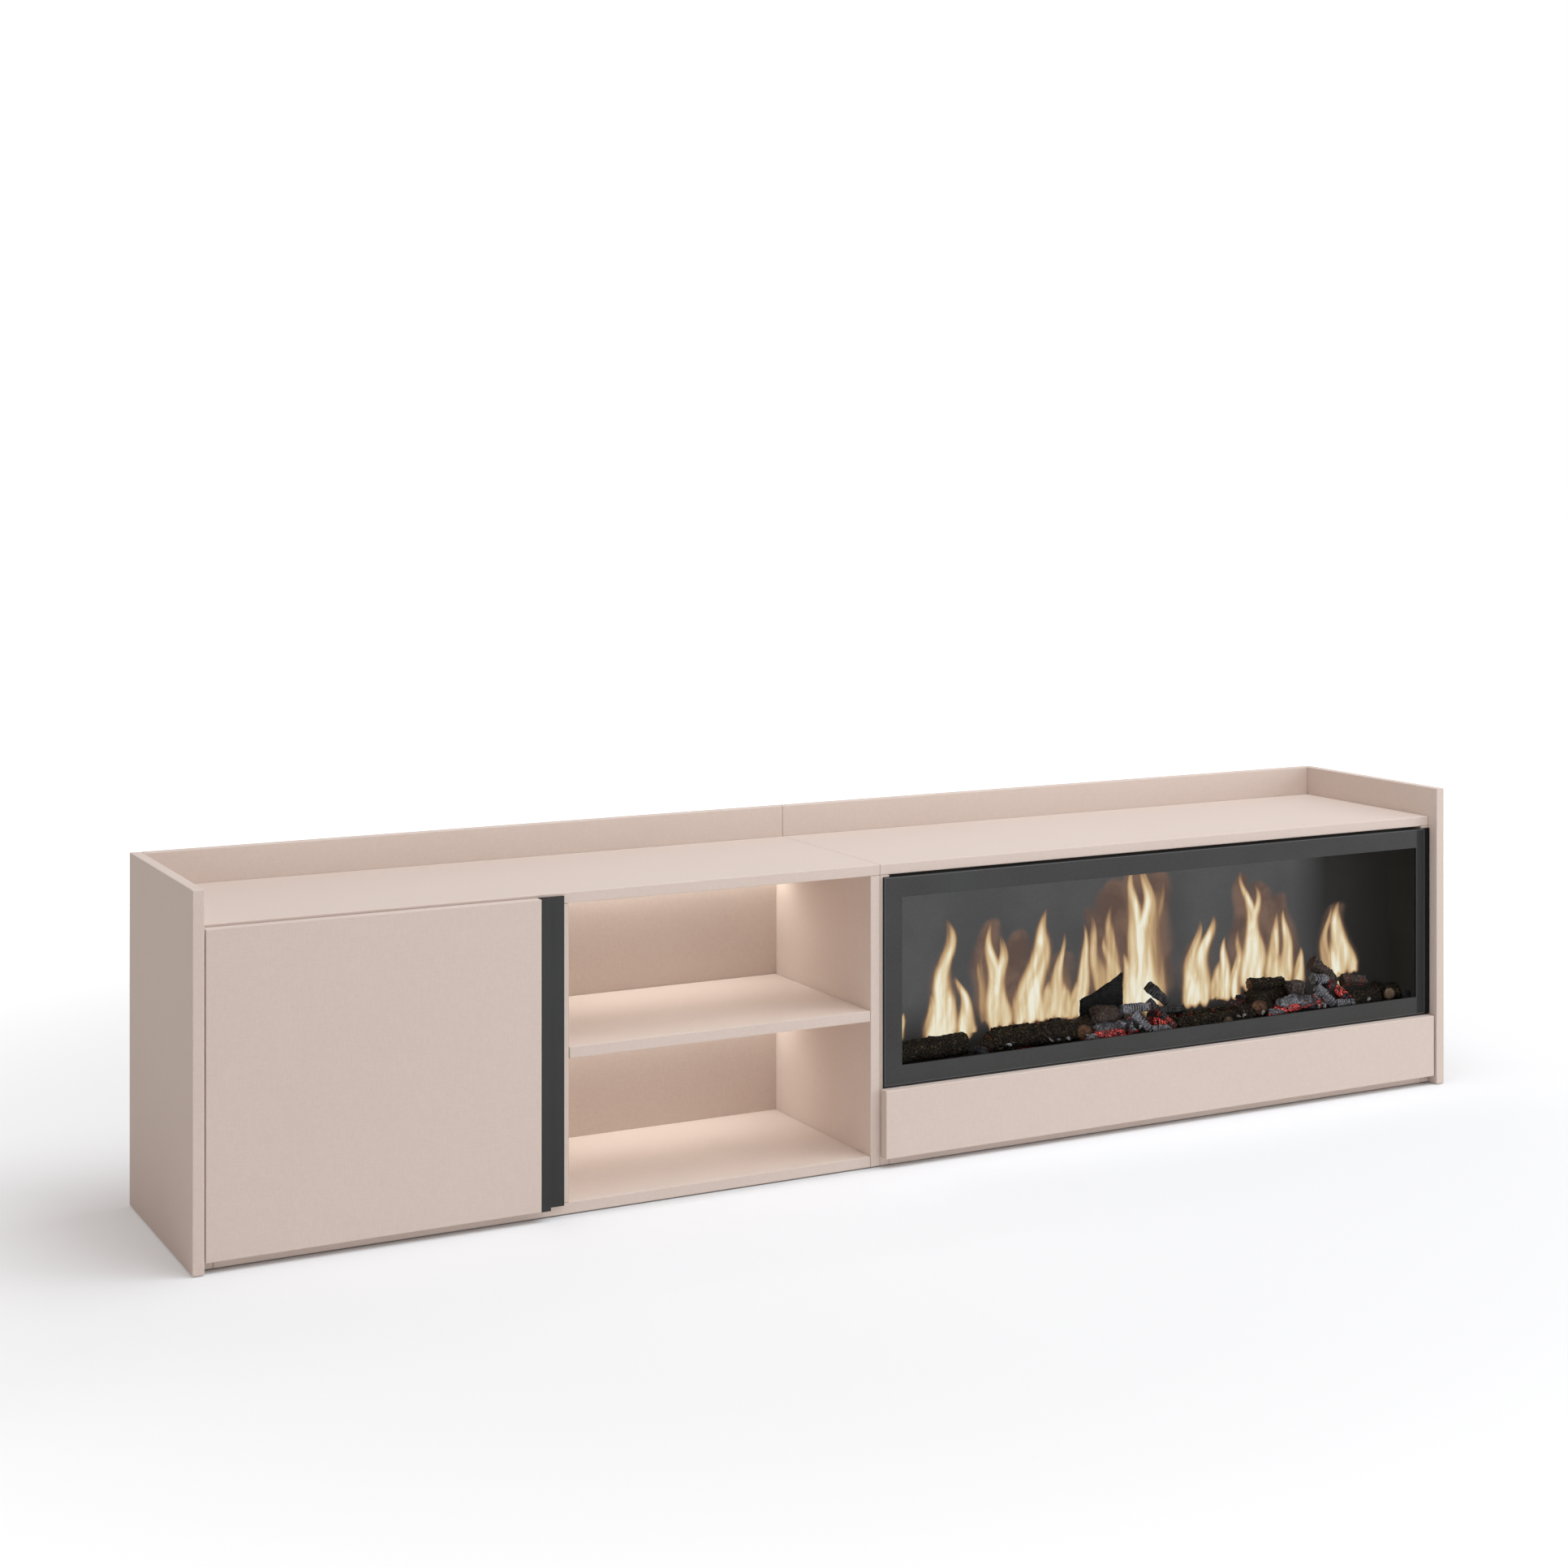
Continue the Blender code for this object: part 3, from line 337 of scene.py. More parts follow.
def powder_coat(name, colour, low, high, gloss=0.4, glow=None):
    """A matt lacquer baked on metal: an even colour with a fine orange peel. It may carry a painted glow: the
    fire's light on it, painted on as emission.
    """
    finish = Finish(name)
    peel = finish.grain(900.0, detail=2.0)
    patch = finish.grain(9.0, detail=2.0)
    light = tuple(part * PEEL_LIFT for part in colour)
    finish.set(Base_Color=finish.mix(finish.share(peel, *NOISE_SPAN), colour, light))
    finish.rough(patch, low, high, specular=gloss)
    if glow is not None:
        # Painted light: the surface glows as though the fire lit it, though it is no lamp
        finish.set(Emission_Color=finish.mix(finish.share(patch, *NOISE_SPAN), *glow))
        finish.set(Emission_Strength=1.0)
    finish.relief(peel, 0.00006, 0.6)
    return finish.material


def zinc_plate(name, along):
    """Bright zinc on pressed steel, with drawing lines along one direction and faint clouds."""
    finish = Finish(name)
    scale = tuple(DRAWN_STRETCH if part else 1.0 for part in along)
    lines = finish.grain(900.0, detail=2.0, place=finish.stretched(scale))
    cloud = finish.grain(40.0, detail=3.0)
    finish.set(Base_Color=finish.mix(cloud, shade(150, 152, 156), shade(202, 204, 208)))
    finish.set(Metallic=1.0)
    finish.rough(lines, 0.24, 0.42)
    finish.relief(lines, 0.00004, 0.5)
    return finish.material


def moulded_plastic(name, colour, light):
    """Moulded plastic with a fine spark-eroded texture."""
    finish = Finish(name)
    spark = finish.grain(1400.0, detail=3.0)
    finish.set(Base_Color=finish.mix(spark, colour, light))
    finish.rough(spark, 0.42, 0.58)
    finish.relief(spark, 0.00005, 0.5)
    return finish.material


def soft_rubber():
    """The clear soft dot that the door closes on."""
    finish = Finish("soft_rubber")
    haze = finish.grain(300.0)
    finish.set(Base_Color=finish.mix(haze, shade(205, 203, 198), shade(226, 224, 220)))
    finish.rough(haze, 0.25, 0.4)
    finish.set(Transmission_Weight=0.3)
    finish.relief(haze, 0.00004, 0.3)
    return finish.material


def frosted_diffuser():
    """The lit strip of the niche light: frosted plastic with a dot of light every few millimetres."""
    finish = Finish("frosted_diffuser")
    wave = finish.maths("SINE", finish.times(finish.axis("X"), math.tau / DOT_PITCH))
    dots = finish.spread(wave, 0.86, 1.0, -1.0, 1.0)
    frost = finish.grain(700.0)
    finish.set(Base_Color=shade(240, 232, 220))
    finish.rough(frost, 0.45, 0.6)
    finish.set(Emission_Color=finish.mix(dots, shade(255, 226, 190), shade(255, 243, 222)))
    finish.set(Emission_Strength=DIFFUSER_GLOW)
    finish.relief(frost, 0.00005, 0.3)
    return finish.material


# Glass of the fire


def inside_window(finish, low, high):
    """1 over the clear window of the pane, 0 over its printed border."""
    span = (
        ("X", low.x + WINDOW_LEFT_INSET, high.x - WINDOW_RIGHT_INSET),
        ("Z", low.z + WINDOW_BOTTOM_INSET, high.z - WINDOW_TOP_INSET),
    )
    share = 1.0
    for letter, start, end in span:
        place = finish.axis(letter)
        over = finish.maths("GREATER_THAN", place, start)
        under = finish.maths("LESS_THAN", place, end)
        share = finish.times(share, finish.times(over, under))
    return share


def edge_distance(finish, low, high):
    """How far a point of the pane lies from the pane's nearest edge."""
    nearest = None
    for letter, start, end in (("X", low.x, high.x), ("Z", low.z, high.z)):
        place = finish.axis(letter)
        for gap in (finish.maths("SUBTRACT", place, start), finish.maths("SUBTRACT", end, place)):
            nearest = gap if nearest is None else finish.maths("MINIMUM", nearest, gap)
    return nearest


def fire_pane():
    """Toughened glass with a dark grey fired print round a clear window, and painted light and shade along
    its edges.
    """
    finish = Finish("fire_pane")
    speck = finish.grain(700.0, detail=2.0)
    low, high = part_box("fire_glass")
    cloud = finish.grain(6.0, detail=2.0)
    fine, broad = (finish.share(source, *NOISE_SPAN) for source in (speck, cloud))
    thin_print = finish.mix(fine, shade(50, 50, 50), shade(60, 60, 59))
    full_print = finish.mix(fine, shade(56, 57, 57), shade(65, 66, 66))
    # Painted reflection: the border's last stretch before the right end is darker, where the shaded end panel
    # beside it is mirrored
    mirrored_shade = finish.mix(speck, shade(20, 21, 22), shade(30, 31, 32))
    end = high.x - WINDOW_RIGHT_INSET
    mirrored_shade_share = finish.share(finish.axis("X"), end, end + 0.2 * WINDOW_RIGHT_INSET)
    border = finish.mix(mirrored_shade_share, finish.mix(broad, thin_print, full_print), mirrored_shade)
    inward = edge_distance(finish, low, high)
    # Painted highlight: a pale line a little in from the pane's edges, as if the edge caught the light
    ground = finish.times(finish.share(inward, *EDGE_HIGHLIGHT_RISE), finish.spread(inward, 1, 0, *EDGE_HIGHLIGHT_FALL))
    border = finish.mix(ground, border, shade(92, 93, 94))
    # Painted shade: a near black line right at the pane's edges, standing in for the shadow in the gap round
    # the glass
    rim = finish.spread(inward, 1, 0, *EDGE_SHADE_FADE)
    finish.set(Base_Color=finish.mix(rim, border, shade(10, 10, 10)))
    finish.rough(speck, 0.30, 0.38, specular=0.22)
    finish.relief(speck, 0.00003, 0.3)
    clear = finish.add("ShaderNodeBsdfTransparent").outputs[0]
    gloss = finish.add("ShaderNodeBsdfGlossy")
    finish.feed(gloss.inputs["Roughness"], finish.spread(speck, 0.02, 0.05, *NOISE_SPAN))
    edge_on = finish.add("ShaderNodeFresnel")
    finish.feed(edge_on.inputs["IOR"], GLASS_IOR)
    slant = finish.share(edge_on.outputs[0], GLASS_GLOSS_FLOOR, 1.0)
    window = finish.blend(slant, clear, gloss.outputs[0])
    finish.surface(finish.blend(inside_window(finish, low, high), finish.shader.outputs[0], window))
    return finish.material


# Finishes of the fire bed

BURNT_SPECULAR = 0.25
RING_PITCH = 0.0047


def dark_bark():
    """Bark of the moulded logs: nearly black, with beige and mossy specks between deep cracks."""
    finish = Finish("dark_bark")
    long = finish.stretched((0.5, 1, 1))
    plates = finish.cells(150.0, place=finish.warped(120.0, 0.014))
    rough = finish.grain(330.0, detail=6.0, roughness=0.72, place=long)
    moss = finish.grain(75.0, detail=3.0)
    brown = finish.mix(finish.share(moss, 0.44, 0.60), shade(42, 32, 22), shade(60, 52, 33))
    worn = finish.mix(finish.share(rough, 0.52, 0.68), brown, shade(142, 124, 92))
    finish.set(Base_Color=finish.mix(finish.share(plates, 0.02, 0.22), shade(7, 6, 5), worn))
    finish.rough(rough, 0.7, 0.95, specular=BURNT_SPECULAR)
    finish.relief(finish.plus(finish.share(plates, 0.0, 0.3), rough), 0.0018, 1.0)
    return finish.material


def cut_wood(name, dark, light):
    """Sawn ends of the logs: fibrous rings, darker towards the bark."""
    finish = Finish(name)
    out = finish.attribute("from_core")
    wobble = finish.grain(130.0, detail=4.0)
    rings = finish.maths("SINE", finish.plus(finish.times(out, 30.0), finish.times(wobble, 26.0)))
    fibre = finish.grain(90.0, detail=5.0, roughness=0.7)
    tone = finish.plus(finish.spread(rings, 0.0, 0.30, -1.0, 1.0), finish.spread(fibre, 0.0, 0.7, 0.40, 0.62))
    rim = finish.share(out, 0.55, 0.98)
    finish.set(Base_Color=finish.mix(rim, finish.mix(tone, dark, light), shade(22, 17, 13)))
    finish.rough(wobble, 0.6, 0.85, specular=BURNT_SPECULAR)
    finish.relief(rings, 0.0004, 0.6)
    return finish.material


def charred_wood(name, dark, light, ash, crack_ash):
    """Charcoal with square cracks and ash on it. It glows where the piece's stored warmth says so."""
    finish = Finish(name)
    warmth = finish.attribute("warmth")
    plates = finish.cells(210.0, place=finish.warped(190.0, 0.009))
    dust = finish.grain(360.0, detail=5.0, roughness=0.65)
    cloud = finish.grain(60.0, detail=2.0)
    patches = finish.spread(dust, 0.30, 1, 0.42, 0.66)
    patches = finish.times(patches, finish.spread(cloud, 0.20, 1, 0.40, 0.58))
    rims = finish.spread(plates, 1, 0, 0.03, 0.10)
    rims = finish.times(rims, finish.spread(cloud, 0, crack_ash, 0.42, 0.58))
    turns = finish.times(finish.attribute("along"), math.tau / RING_PITCH)
    turns = finish.plus(turns, finish.times(cloud, 5.0))
    bands = finish.share(finish.maths("SINE", turns), 0.0, 0.95)
    bands = finish.times(bands, finish.times(finish.attribute("ringed"), ash))
    bands = finish.times(bands, finish.spread(dust, 0.55, 1, 0.40, 0.60))
    ash_here = finish.maths("MAXIMUM", finish.times(patches, ash), finish.maths("MAXIMUM", rims, bands))
    cool = finish.spread(warmth, 1, 0, 0.25, 0.6)
    grey = finish.mix(finish.grain(700.0), shade(132, 136, 147), shade(222, 226, 236))
    coal = finish.mix(finish.share(dust, 0.35, 0.65), dark, light)
    finish.set(Base_Color=finish.mix(finish.times(ash_here, cool), coal, grey))
    finish.rough(dust, 0.6, 0.95, specular=BURNT_SPECULAR)
    lively = finish.times(finish.share(dust, 0.44, 0.66), finish.share(warmth, 0.34, 0.90))
    hot = finish.mix(finish.share(plates, 0.0, 0.22), shade(255, 116, 104), shade(188, 20, 38))
    finish.set(Emission_Color=finish.mix(lively, (0, 0, 0), hot), Emission_Strength=1.0)
    finish.relief(finish.plus(finish.share(plates, 0.0, 0.25), dust), 0.0014, 1.0)
    return finish.material


def soot_bed():
    """The bed's floor: soot and grit, with a few live specks."""
    finish = Finish("soot_bed")
    grit = finish.grain(420.0, detail=6.0, roughness=0.75)
    lumps = finish.cells(260.0)
    spots = finish.grain(70.0, detail=2.0)
    coal = finish.mix(grit, shade(8, 7, 7), shade(36, 31, 28))
    ash = finish.times(finish.share(grit, 0.58, 0.7), finish.share(spots, 0.5, 0.6))
    finish.set(Base_Color=finish.mix(ash, coal, shade(120, 118, 118)))
    finish.rough(grit, 0.75, 0.98, specular=BURNT_SPECULAR)
    live = finish.times(finish.spread(lumps, 1, 0, 0.01, 0.08), finish.share(spots, 0.60, 0.68))
    finish.set(Emission_Color=finish.mix(live, (0, 0, 0), shade(200, 32, 28)))
    finish.set(Emission_Strength=1.0)
    finish.relief(finish.plus(lumps, grit), 0.0012, 0.9)
    return finish.material


def flame_light():
    """The glowing picture: cream flames in brown veils, over a grey haze that fades to black."""
    finish = Finish("flame_light")
    heat = finish.attribute("flame_heat")
    silk = finish.grain(1.0, detail=3.0, distortion=0.6, place=finish.stretched((75, 1, 12)))
    lively = finish.times(heat, finish.spread(silk, 0.80, 1.06, 0.35, 0.62))
    stops = (
        (0.00, shade(50, 38, 33)),
        (0.14, shade(108, 84, 66)),
        (0.34, shade(160, 127, 93)),
        (0.56, shade(198, 169, 126)),
        (0.73, shade(215, 195, 157)),
        (0.88, shade(229, 218, 189)),
        (1.00, shade(234, 231, 214)),
    )
    flame = finish.ramp(lively, stops)
    speck = finish.grain(900.0, detail=2.0)
    drift = finish.grain(9.0, detail=2.0)
    haze = finish.times(finish.attribute("flame_haze"), finish.spread(drift, 0.86, 1.06, 0.35, 0.65))
    grey = finish.mix(finish.share(speck, *NOISE_SPAN), shade(70, 70, 71), shade(84, 84, 85))
    back = finish.mix(haze, shade(29, 28, 26), grey)
    smoke = finish.grain(16.0, detail=3.0)
    brown = finish.mix(finish.share(smoke, 0.36, 0.64), shade(92, 70, 59), shade(122, 95, 79))
    veiled = finish.mix(finish.attribute("flame_veil"), back, brown)
    cover = finish.spread(lively, 0.0, 1.0, 0.02, 0.42)
    finish.set(Base_Color=shade(8, 8, 8), Specular_IOR_Level=0.15)
    finish.rough(speck, 0.5, 0.6)
    finish.set(Emission_Color=finish.mix(cover, veiled, flame))
    finish.set(Emission_Strength=1.0)
    finish.relief(speck, 0.00003, 0.2)
    return finish.material


# Making pieces


def make_piece(name, shape, finishes, body="cabinet", smooth_angle=None, outward=False):
    """Turns a mesh in place into a piece that rides on a body. Its faces may look outward already."""
    if not outward:
        bmesh.ops.recalc_face_normals(shape, faces=shape.faces)
        # On a bent stick the faces may agree with each other and still all look inward
        if shape.calc_volume(signed=True) < 0:
            bmesh.ops.reverse_faces(shape, faces=shape.faces)
    mesh = bpy.data.meshes.new(name)
    shape.to_mesh(mesh)
    shape.free()
    for finish in finishes:
        mesh.materials.append(finish)
    item = bpy.data.objects.new(name, mesh)
    bpy.context.scene.collection.objects.link(item)
    if smooth_angle is not None:
        mesh.shade_smooth()
        mesh.set_sharp_from_angle(angle=smooth_angle)
    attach(item, body)
    return item


def axis_place(start, end):
    """Turns a shape that is drawn along Z, round the origin, to lie from start to end."""
    turn = (end - start).to_track_quat("Z", "Y").to_matrix().to_4x4()
    return Matrix.Translation((start + end) / 2) @ turn


def fine_grid(middle, size, step, turn=Matrix.Identity(4)):
    """A flat grid about a middle, of cells as near to the step as its size allows."""
    shape = bmesh.new()
    columns, rows = (round(side / step) for side in size)
    place = Matrix.Translation(middle) @ turn @ Matrix.Diagonal((size[0] / 2, size[1] / 2, 1, 1))
    bmesh.ops.create_grid(shape, x_segments=columns, y_segments=rows, size=1, matrix=place)
    return shape


def close_sheet(shape, axis, level):
    """Draws a sheet's open rim out to a level on an axis, and closes it there with one face."""
    rim = [edge for edge in shape.edges if edge.is_boundary]
    drawn = bmesh.ops.extrude_edge_only(shape, edges=rim)["geom"]
    for part in drawn:
        if isinstance(part, bmesh.types.BMVert):
            setattr(part.co, axis, level)
    loop = [part for part in drawn if isinstance(part, bmesh.types.BMEdge)]
    bmesh.ops.contextual_create(shape, geom=loop)


# The flames: foot and tip along the screen, foot and tip up it, half width and sway in metres,
# turns of the sway, its phase, and strength
FLAME_SHARES = (
    (0.052, 0.060, 0.12, 0.28, 0.010, 0.002, 0.50, 0.00, 0.90),
    (0.131, 0.135, 0.10, 0.74, 0.024, 0.013, 1.00, 0.50, 1.00),
    (0.112, 0.104, 0.10, 0.36, 0.015, 0.003, 0.80, 0.60, 0.85),
    (0.142, 0.146, 0.11, 0.40, 0.018, 0.003, 0.70, 0.20, 0.85),
    (0.168, 0.160, 0.11, 0.44, 0.016, 0.007, 0.90, 0.90, 0.95),
    (0.184, 0.170, 0.13, 0.26, 0.011, 0.002, 0.70, 0.30, 0.65),
    (0.222, 0.213, 0.14, 0.70, 0.017, 0.006, 1.30, 0.73, 0.90),
    (0.244, 0.236, 0.14, 0.63, 0.016, 0.006, 1.40, 0.26, 0.92),
    (0.208, 0.203, 0.17, 0.57, 0.012, 0.004, 0.80, 0.30, 0.45),
    (0.280, 0.324, 0.14, 0.74, 0.028, 0.006, 0.85, 0.05, 1.00),
    (0.300, 0.302, 0.15, 0.44, 0.022, 0.004, 0.80, 0.50, 0.90),
    (0.322, 0.328, 0.15, 0.36, 0.017, 0.003, 0.80, 0.20, 0.80),
    (0.340, 0.346, 0.15, 0.61, 0.013, 0.004, 0.90, 0.40, 0.80),
    (0.356, 0.352, 0.15, 0.34, 0.015, 0.002, 0.80, 0.00, 0.70),
    (0.345, 0.345, 0.16, 0.53, 0.034, 0.002, 0.80, 0.00, 0.28),
    (0.378, 0.388, 0.14, 0.64, 0.013, 0.003, 0.80, 0.70, 0.95),
    (0.368, 0.374, 0.14, 0.34, 0.014, 0.002, 0.80, 0.10, 0.70),
    (0.414, 0.398, 0.27, 0.69, 0.016, 0.005, 0.90, 0.50, 0.60),
    (0.434, 0.444, 0.28, 0.73, 0.017, 0.007, 1.00, 0.00, 0.62),
    (0.448, 0.426, 0.30, 0.57, 0.014, 0.004, 0.90, 0.20, 0.60),
    (0.482, 0.478, 0.13, 0.93, 0.022, 0.007, 1.25, 0.73, 1.00),
    (0.516, 0.502, 0.13, 0.95, 0.022, 0.007, 1.60, 0.26, 0.97),
    (0.524, 0.528, 0.15, 0.86, 0.030, 0.005, 1.10, 0.30, 0.50),
    (0.474, 0.466, 0.15, 0.46, 0.018, 0.004, 0.80, 0.00, 0.85),
    (0.498, 0.494, 0.14, 0.42, 0.024, 0.003, 0.80, 0.60, 0.95),
    (0.586, 0.604, 0.13, 0.60, 0.017, 0.006, 0.90, 0.55, 0.78),
    (0.614, 0.628, 0.13, 0.61, 0.025, 0.009, 0.95, 0.45, 1.00),
    (0.598, 0.600, 0.13, 0.36, 0.018, 0.003, 0.80, 0.30, 0.85),
    (0.638, 0.646, 0.15, 0.36, 0.013, 0.003, 0.80, 0.50, 0.65),
    (0.664, 0.660, 0.14, 0.49, 0.013, 0.003, 0.90, 0.10, 1.00),
    (0.680, 0.682, 0.14, 0.42, 0.012, 0.003, 0.90, 0.60, 0.90),
    (0.652, 0.650, 0.14, 0.34, 0.010, 0.002, 0.80, 0.30, 0.70),
    (0.708, 0.700, 0.19, 0.84, 0.018, 0.008, 1.15, 0.73, 0.97),
    (0.730, 0.722, 0.21, 0.76, 0.017, 0.008, 1.30, 0.20, 0.95),
    (0.700, 0.684, 0.20, 0.53, 0.012, 0.004, 0.90, 0.20, 0.55),
    (0.758, 0.764, 0.18, 0.60, 0.016, 0.005, 0.90, 0.40, 0.85),
    (0.782, 0.784, 0.16, 0.61, 0.016, 0.004, 0.90, 0.00, 0.95),
    (0.806, 0.810, 0.15, 0.38, 0.013, 0.003, 0.80, 0.60, 0.85),
    (0.770, 0.768, 0.16, 0.36, 0.018, 0.003, 0.80, 0.30, 0.80),
    (0.868, 0.874, 0.20, 0.60, 0.013, 0.007, 0.90, 0.45, 0.65),
    (0.894, 0.896, 0.20, 0.61, 0.024, 0.008, 0.95, 0.00, 1.00),
    (0.886, 0.876, 0.10, 0.40, 0.015, 0.003, 0.70, 0.50, 0.92),
    (0.924, 0.904, 0.20, 0.46, 0.016, 0.003, 0.70, 0.20, 0.80),
)

# The brown veils round them, in the same terms
VEIL_SHARES = (
    (0.222, 0.213, 0.18, 0.71, 0.039, 0.004, 0.80, 0.10, 0.95),
    (0.252, 0.262, 0.18, 0.64, 0.039, 0.003, 0.80, 0.60, 0.90),
    (0.330, 0.342, 0.18, 0.50, 0.056, 0.003, 0.80, 0.20, 0.55),
    (0.408, 0.402, 0.20, 0.72, 0.034, 0.004, 0.80, 0.50, 0.85),
    (0.440, 0.446, 0.20, 0.86, 0.047, 0.005, 0.90, 0.00, 0.95),
    (0.482, 0.480, 0.18, 0.94, 0.055, 0.005, 0.90, 0.40, 1.00),
    (0.520, 0.526, 0.18, 0.92, 0.044, 0.005, 0.90, 0.20, 1.00),
    (0.606, 0.612, 0.18, 0.50, 0.044, 0.003, 0.80, 0.10, 0.50),
    (0.694, 0.700, 0.18, 0.82, 0.036, 0.005, 0.90, 0.20, 0.95),
    (0.734, 0.732, 0.18, 0.77, 0.047, 0.004, 0.90, 0.70, 1.00),
    (0.772, 0.778, 0.18, 0.69, 0.039, 0.004, 0.80, 0.10, 0.95),
    (0.890, 0.888, 0.18, 0.60, 0.042, 0.005, 0.80, 0.30, 0.60),
)
FLAME_BLUNTNESS = 0.52
VEIL_BLUNTNESS = 0.85
# How sharply neighbouring flames part where they meet
JOIN_SHARPNESS = 3.2
# A flame's core is steep, narrower on one side than on the other, and lies in a faint sheath
CORE_SIDES = (1.30, 0.92)
CORE_STEEPNESS = 3.2
SHEATH_GLOW = 0.22
SHEATH_REACH = 1.7
SHEATH_STEEPNESS = 2.6
# Shares of a tongue's height over which its tip fades
FLAME_TIP = 0.30
VEIL_TIP = 0.06
VEIL_STEEPNESS = 6.0
VEIL_COVER = 0.85
VEIL_MOST = 0.90
HAZE_DIMMING = 0.28


def inside_tongue(x, z, length, height, tongue, bluntness):
    """How far points lie across a tongue of flame, from its middle to its edge at 1, and up it."""
    foot, tip, low, high, width, sway, turns, phase = tongue[:-1]
    rise = (z / height - low) / (high - low)
    up = np.clip(rise, 0, 1)
    bend = np.sin(math.tau * (turns * up**1.3 + phase)) - math.sin(math.tau * phase) * (1 - up)
    middle = (foot + (tip - foot) * up) * length + sway * bend * (0.35 + 0.65 * up)
    narrow = (1 - bluntness) * (1 - up) ** 1.5 + bluntness * (1 - up) ** 0.36
    half = width * narrow * (0.66 + 0.42 * np.clip(up / 0.20, 0, 1)) + 0.0006
    return (x - middle) / half, up, rise


def flame_glow(x, z, length, height, flame):
    """How strongly one tongue of flame glows at points of the screen."""
    across, up, rise = inside_tongue(x, z, length, height, flame, FLAME_BLUNTNESS)
    phase, strength = flame[-2:]
    lean = 1 if phase < 0.5 else -1
    side = np.where(across * lean > 0, *CORE_SIDES)
    core = np.exp(-((np.abs(across) * side) ** CORE_STEEPNESS))
    sheath = SHEATH_GLOW * np.exp(-((np.abs(across) / SHEATH_REACH) ** SHEATH_STEEPNESS))
    turn = 3.4 * across * lean + 9 * phase + 2.2 * np.sin(4.2 * up + 9 * phase)
    fold = 1.06 - (0.24 + 0.20 * up) * (0.5 + 0.5 * np.sin(turn)) ** 1.5
    foot = rise + 0.05 * np.abs(np.sin(150 * x + 20 * phase)) - 0.02
    ends = np.clip(foot / 0.07 + 0.5, 0, 1) * np.clip((1 - rise) / FLAME_TIP, 0, 1) ** 0.8
    return strength * (1 - (1 - core) * (1 - sheath)) * fold * ends


def veil_cover(x, z, length, height, veil):
    """How thick one veil is at points of the screen."""
    across, _, rise = inside_tongue(x, z, length, height, veil, VEIL_BLUNTNESS)
    ends = np.clip(rise / 0.12, 0, 1) * np.clip((1 - rise) / VEIL_TIP, 0, 1)
    return veil[-1] * np.exp(-(np.abs(across) ** VEIL_STEEPNESS)) * ends


def flame_fields(x, z, length, height):
    """Heat of the flames, their brown veils and the grey haze, at points of the screen."""
    waver = 0.0030 * np.sin(33 * z + 17 * x) + 0.0016 * np.sin(71 * z - 23 * x + 1.3)
    waver = waver * np.clip((z - 0.1 * height) / 0.05, 0, 1)
    heat = np.zeros_like(x)
    for flame in FLAME_SHARES:
        heat = heat + flame_glow(x + waver, z, length, height, flame) ** JOIN_SHARPNESS
    heat = np.minimum(heat ** (1 / JOIN_SHARPNESS), 1.0)
    clear = np.ones_like(x)
    dark = np.zeros_like(x)
    for veil in VEIL_SHARES:
        edge = 0.0016 * np.sin(83 * z + 40 * x + 9 * veil[0])
        clear = clear * (1 - VEIL_COVER * veil_cover(x + 2 * waver + edge, z, length, height, veil))
        foot, _, low, high, width = veil[:5]
        aside = (x - foot * length) / (2.0 * width)
        lift = (z / height - (0.6 * low + 0.4 * high)) / (0.66 * (high - low))
        dark = np.maximum(dark, veil[-1] * np.exp(-1.2 * (aside**2 + lift**2)))
    haze = np.clip((0.865 - x / length) / 0.07, 0, 1) * np.clip((z / height - 0.08) / 0.24, 0, 1)
    return {
        "flame_heat": heat,
        "flame_veil": np.minimum(1 - clear, VEIL_MOST),
        "flame_haze": haze * (1 - HAZE_DIMMING * dark),
    }


def flame_picture():
    """The flame screen: a slab whose front is a fine grid that carries the flames."""
    low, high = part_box("flame_screen")
    length, height = high.x - low.x, high.z - low.z
    middle = ((low.x + high.x) / 2, low.y, (low.z + high.z) / 2)
    shape = fine_grid(middle, (length, height), PICTURE_STEP, Matrix.Rotation(math.pi / 2, 4, "X"))
    close_sheet(shape, "y", high.y)
    item = make_piece("flame_picture", shape, [flame_light()])
    places = np.zeros(len(item.data.vertices) * 3)
    item.data.vertices.foreach_get("co", places)
    places = places.reshape(-1, 3)
    fields = flame_fields(places[:, 0] - low.x, places[:, 2] - low.z, length, height)
    front = places[:, 1] < (low.y + high.y) / 2
    for name, values in fields.items():
        store = item.data.attributes.new(name, "FLOAT", "POINT")
        store.data.foreach_set("value", np.where(front, values, 0).astype(np.float32))
    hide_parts("flame_screen")


# The fire bed
RANDOM_SEED = 11
BED_GROUND = 0.013
BED_LUMP = 0.0050
BED_STEP = 0.004
LOG_SIDES = 44
LOG_STEP = 0.0030
END_RINGS = 3
BARK_DEPTH = 0.0022
LOG_SWELL = 0.12
LOG_BEND = 0.30
CUT_ROUGHNESS = 0.0014

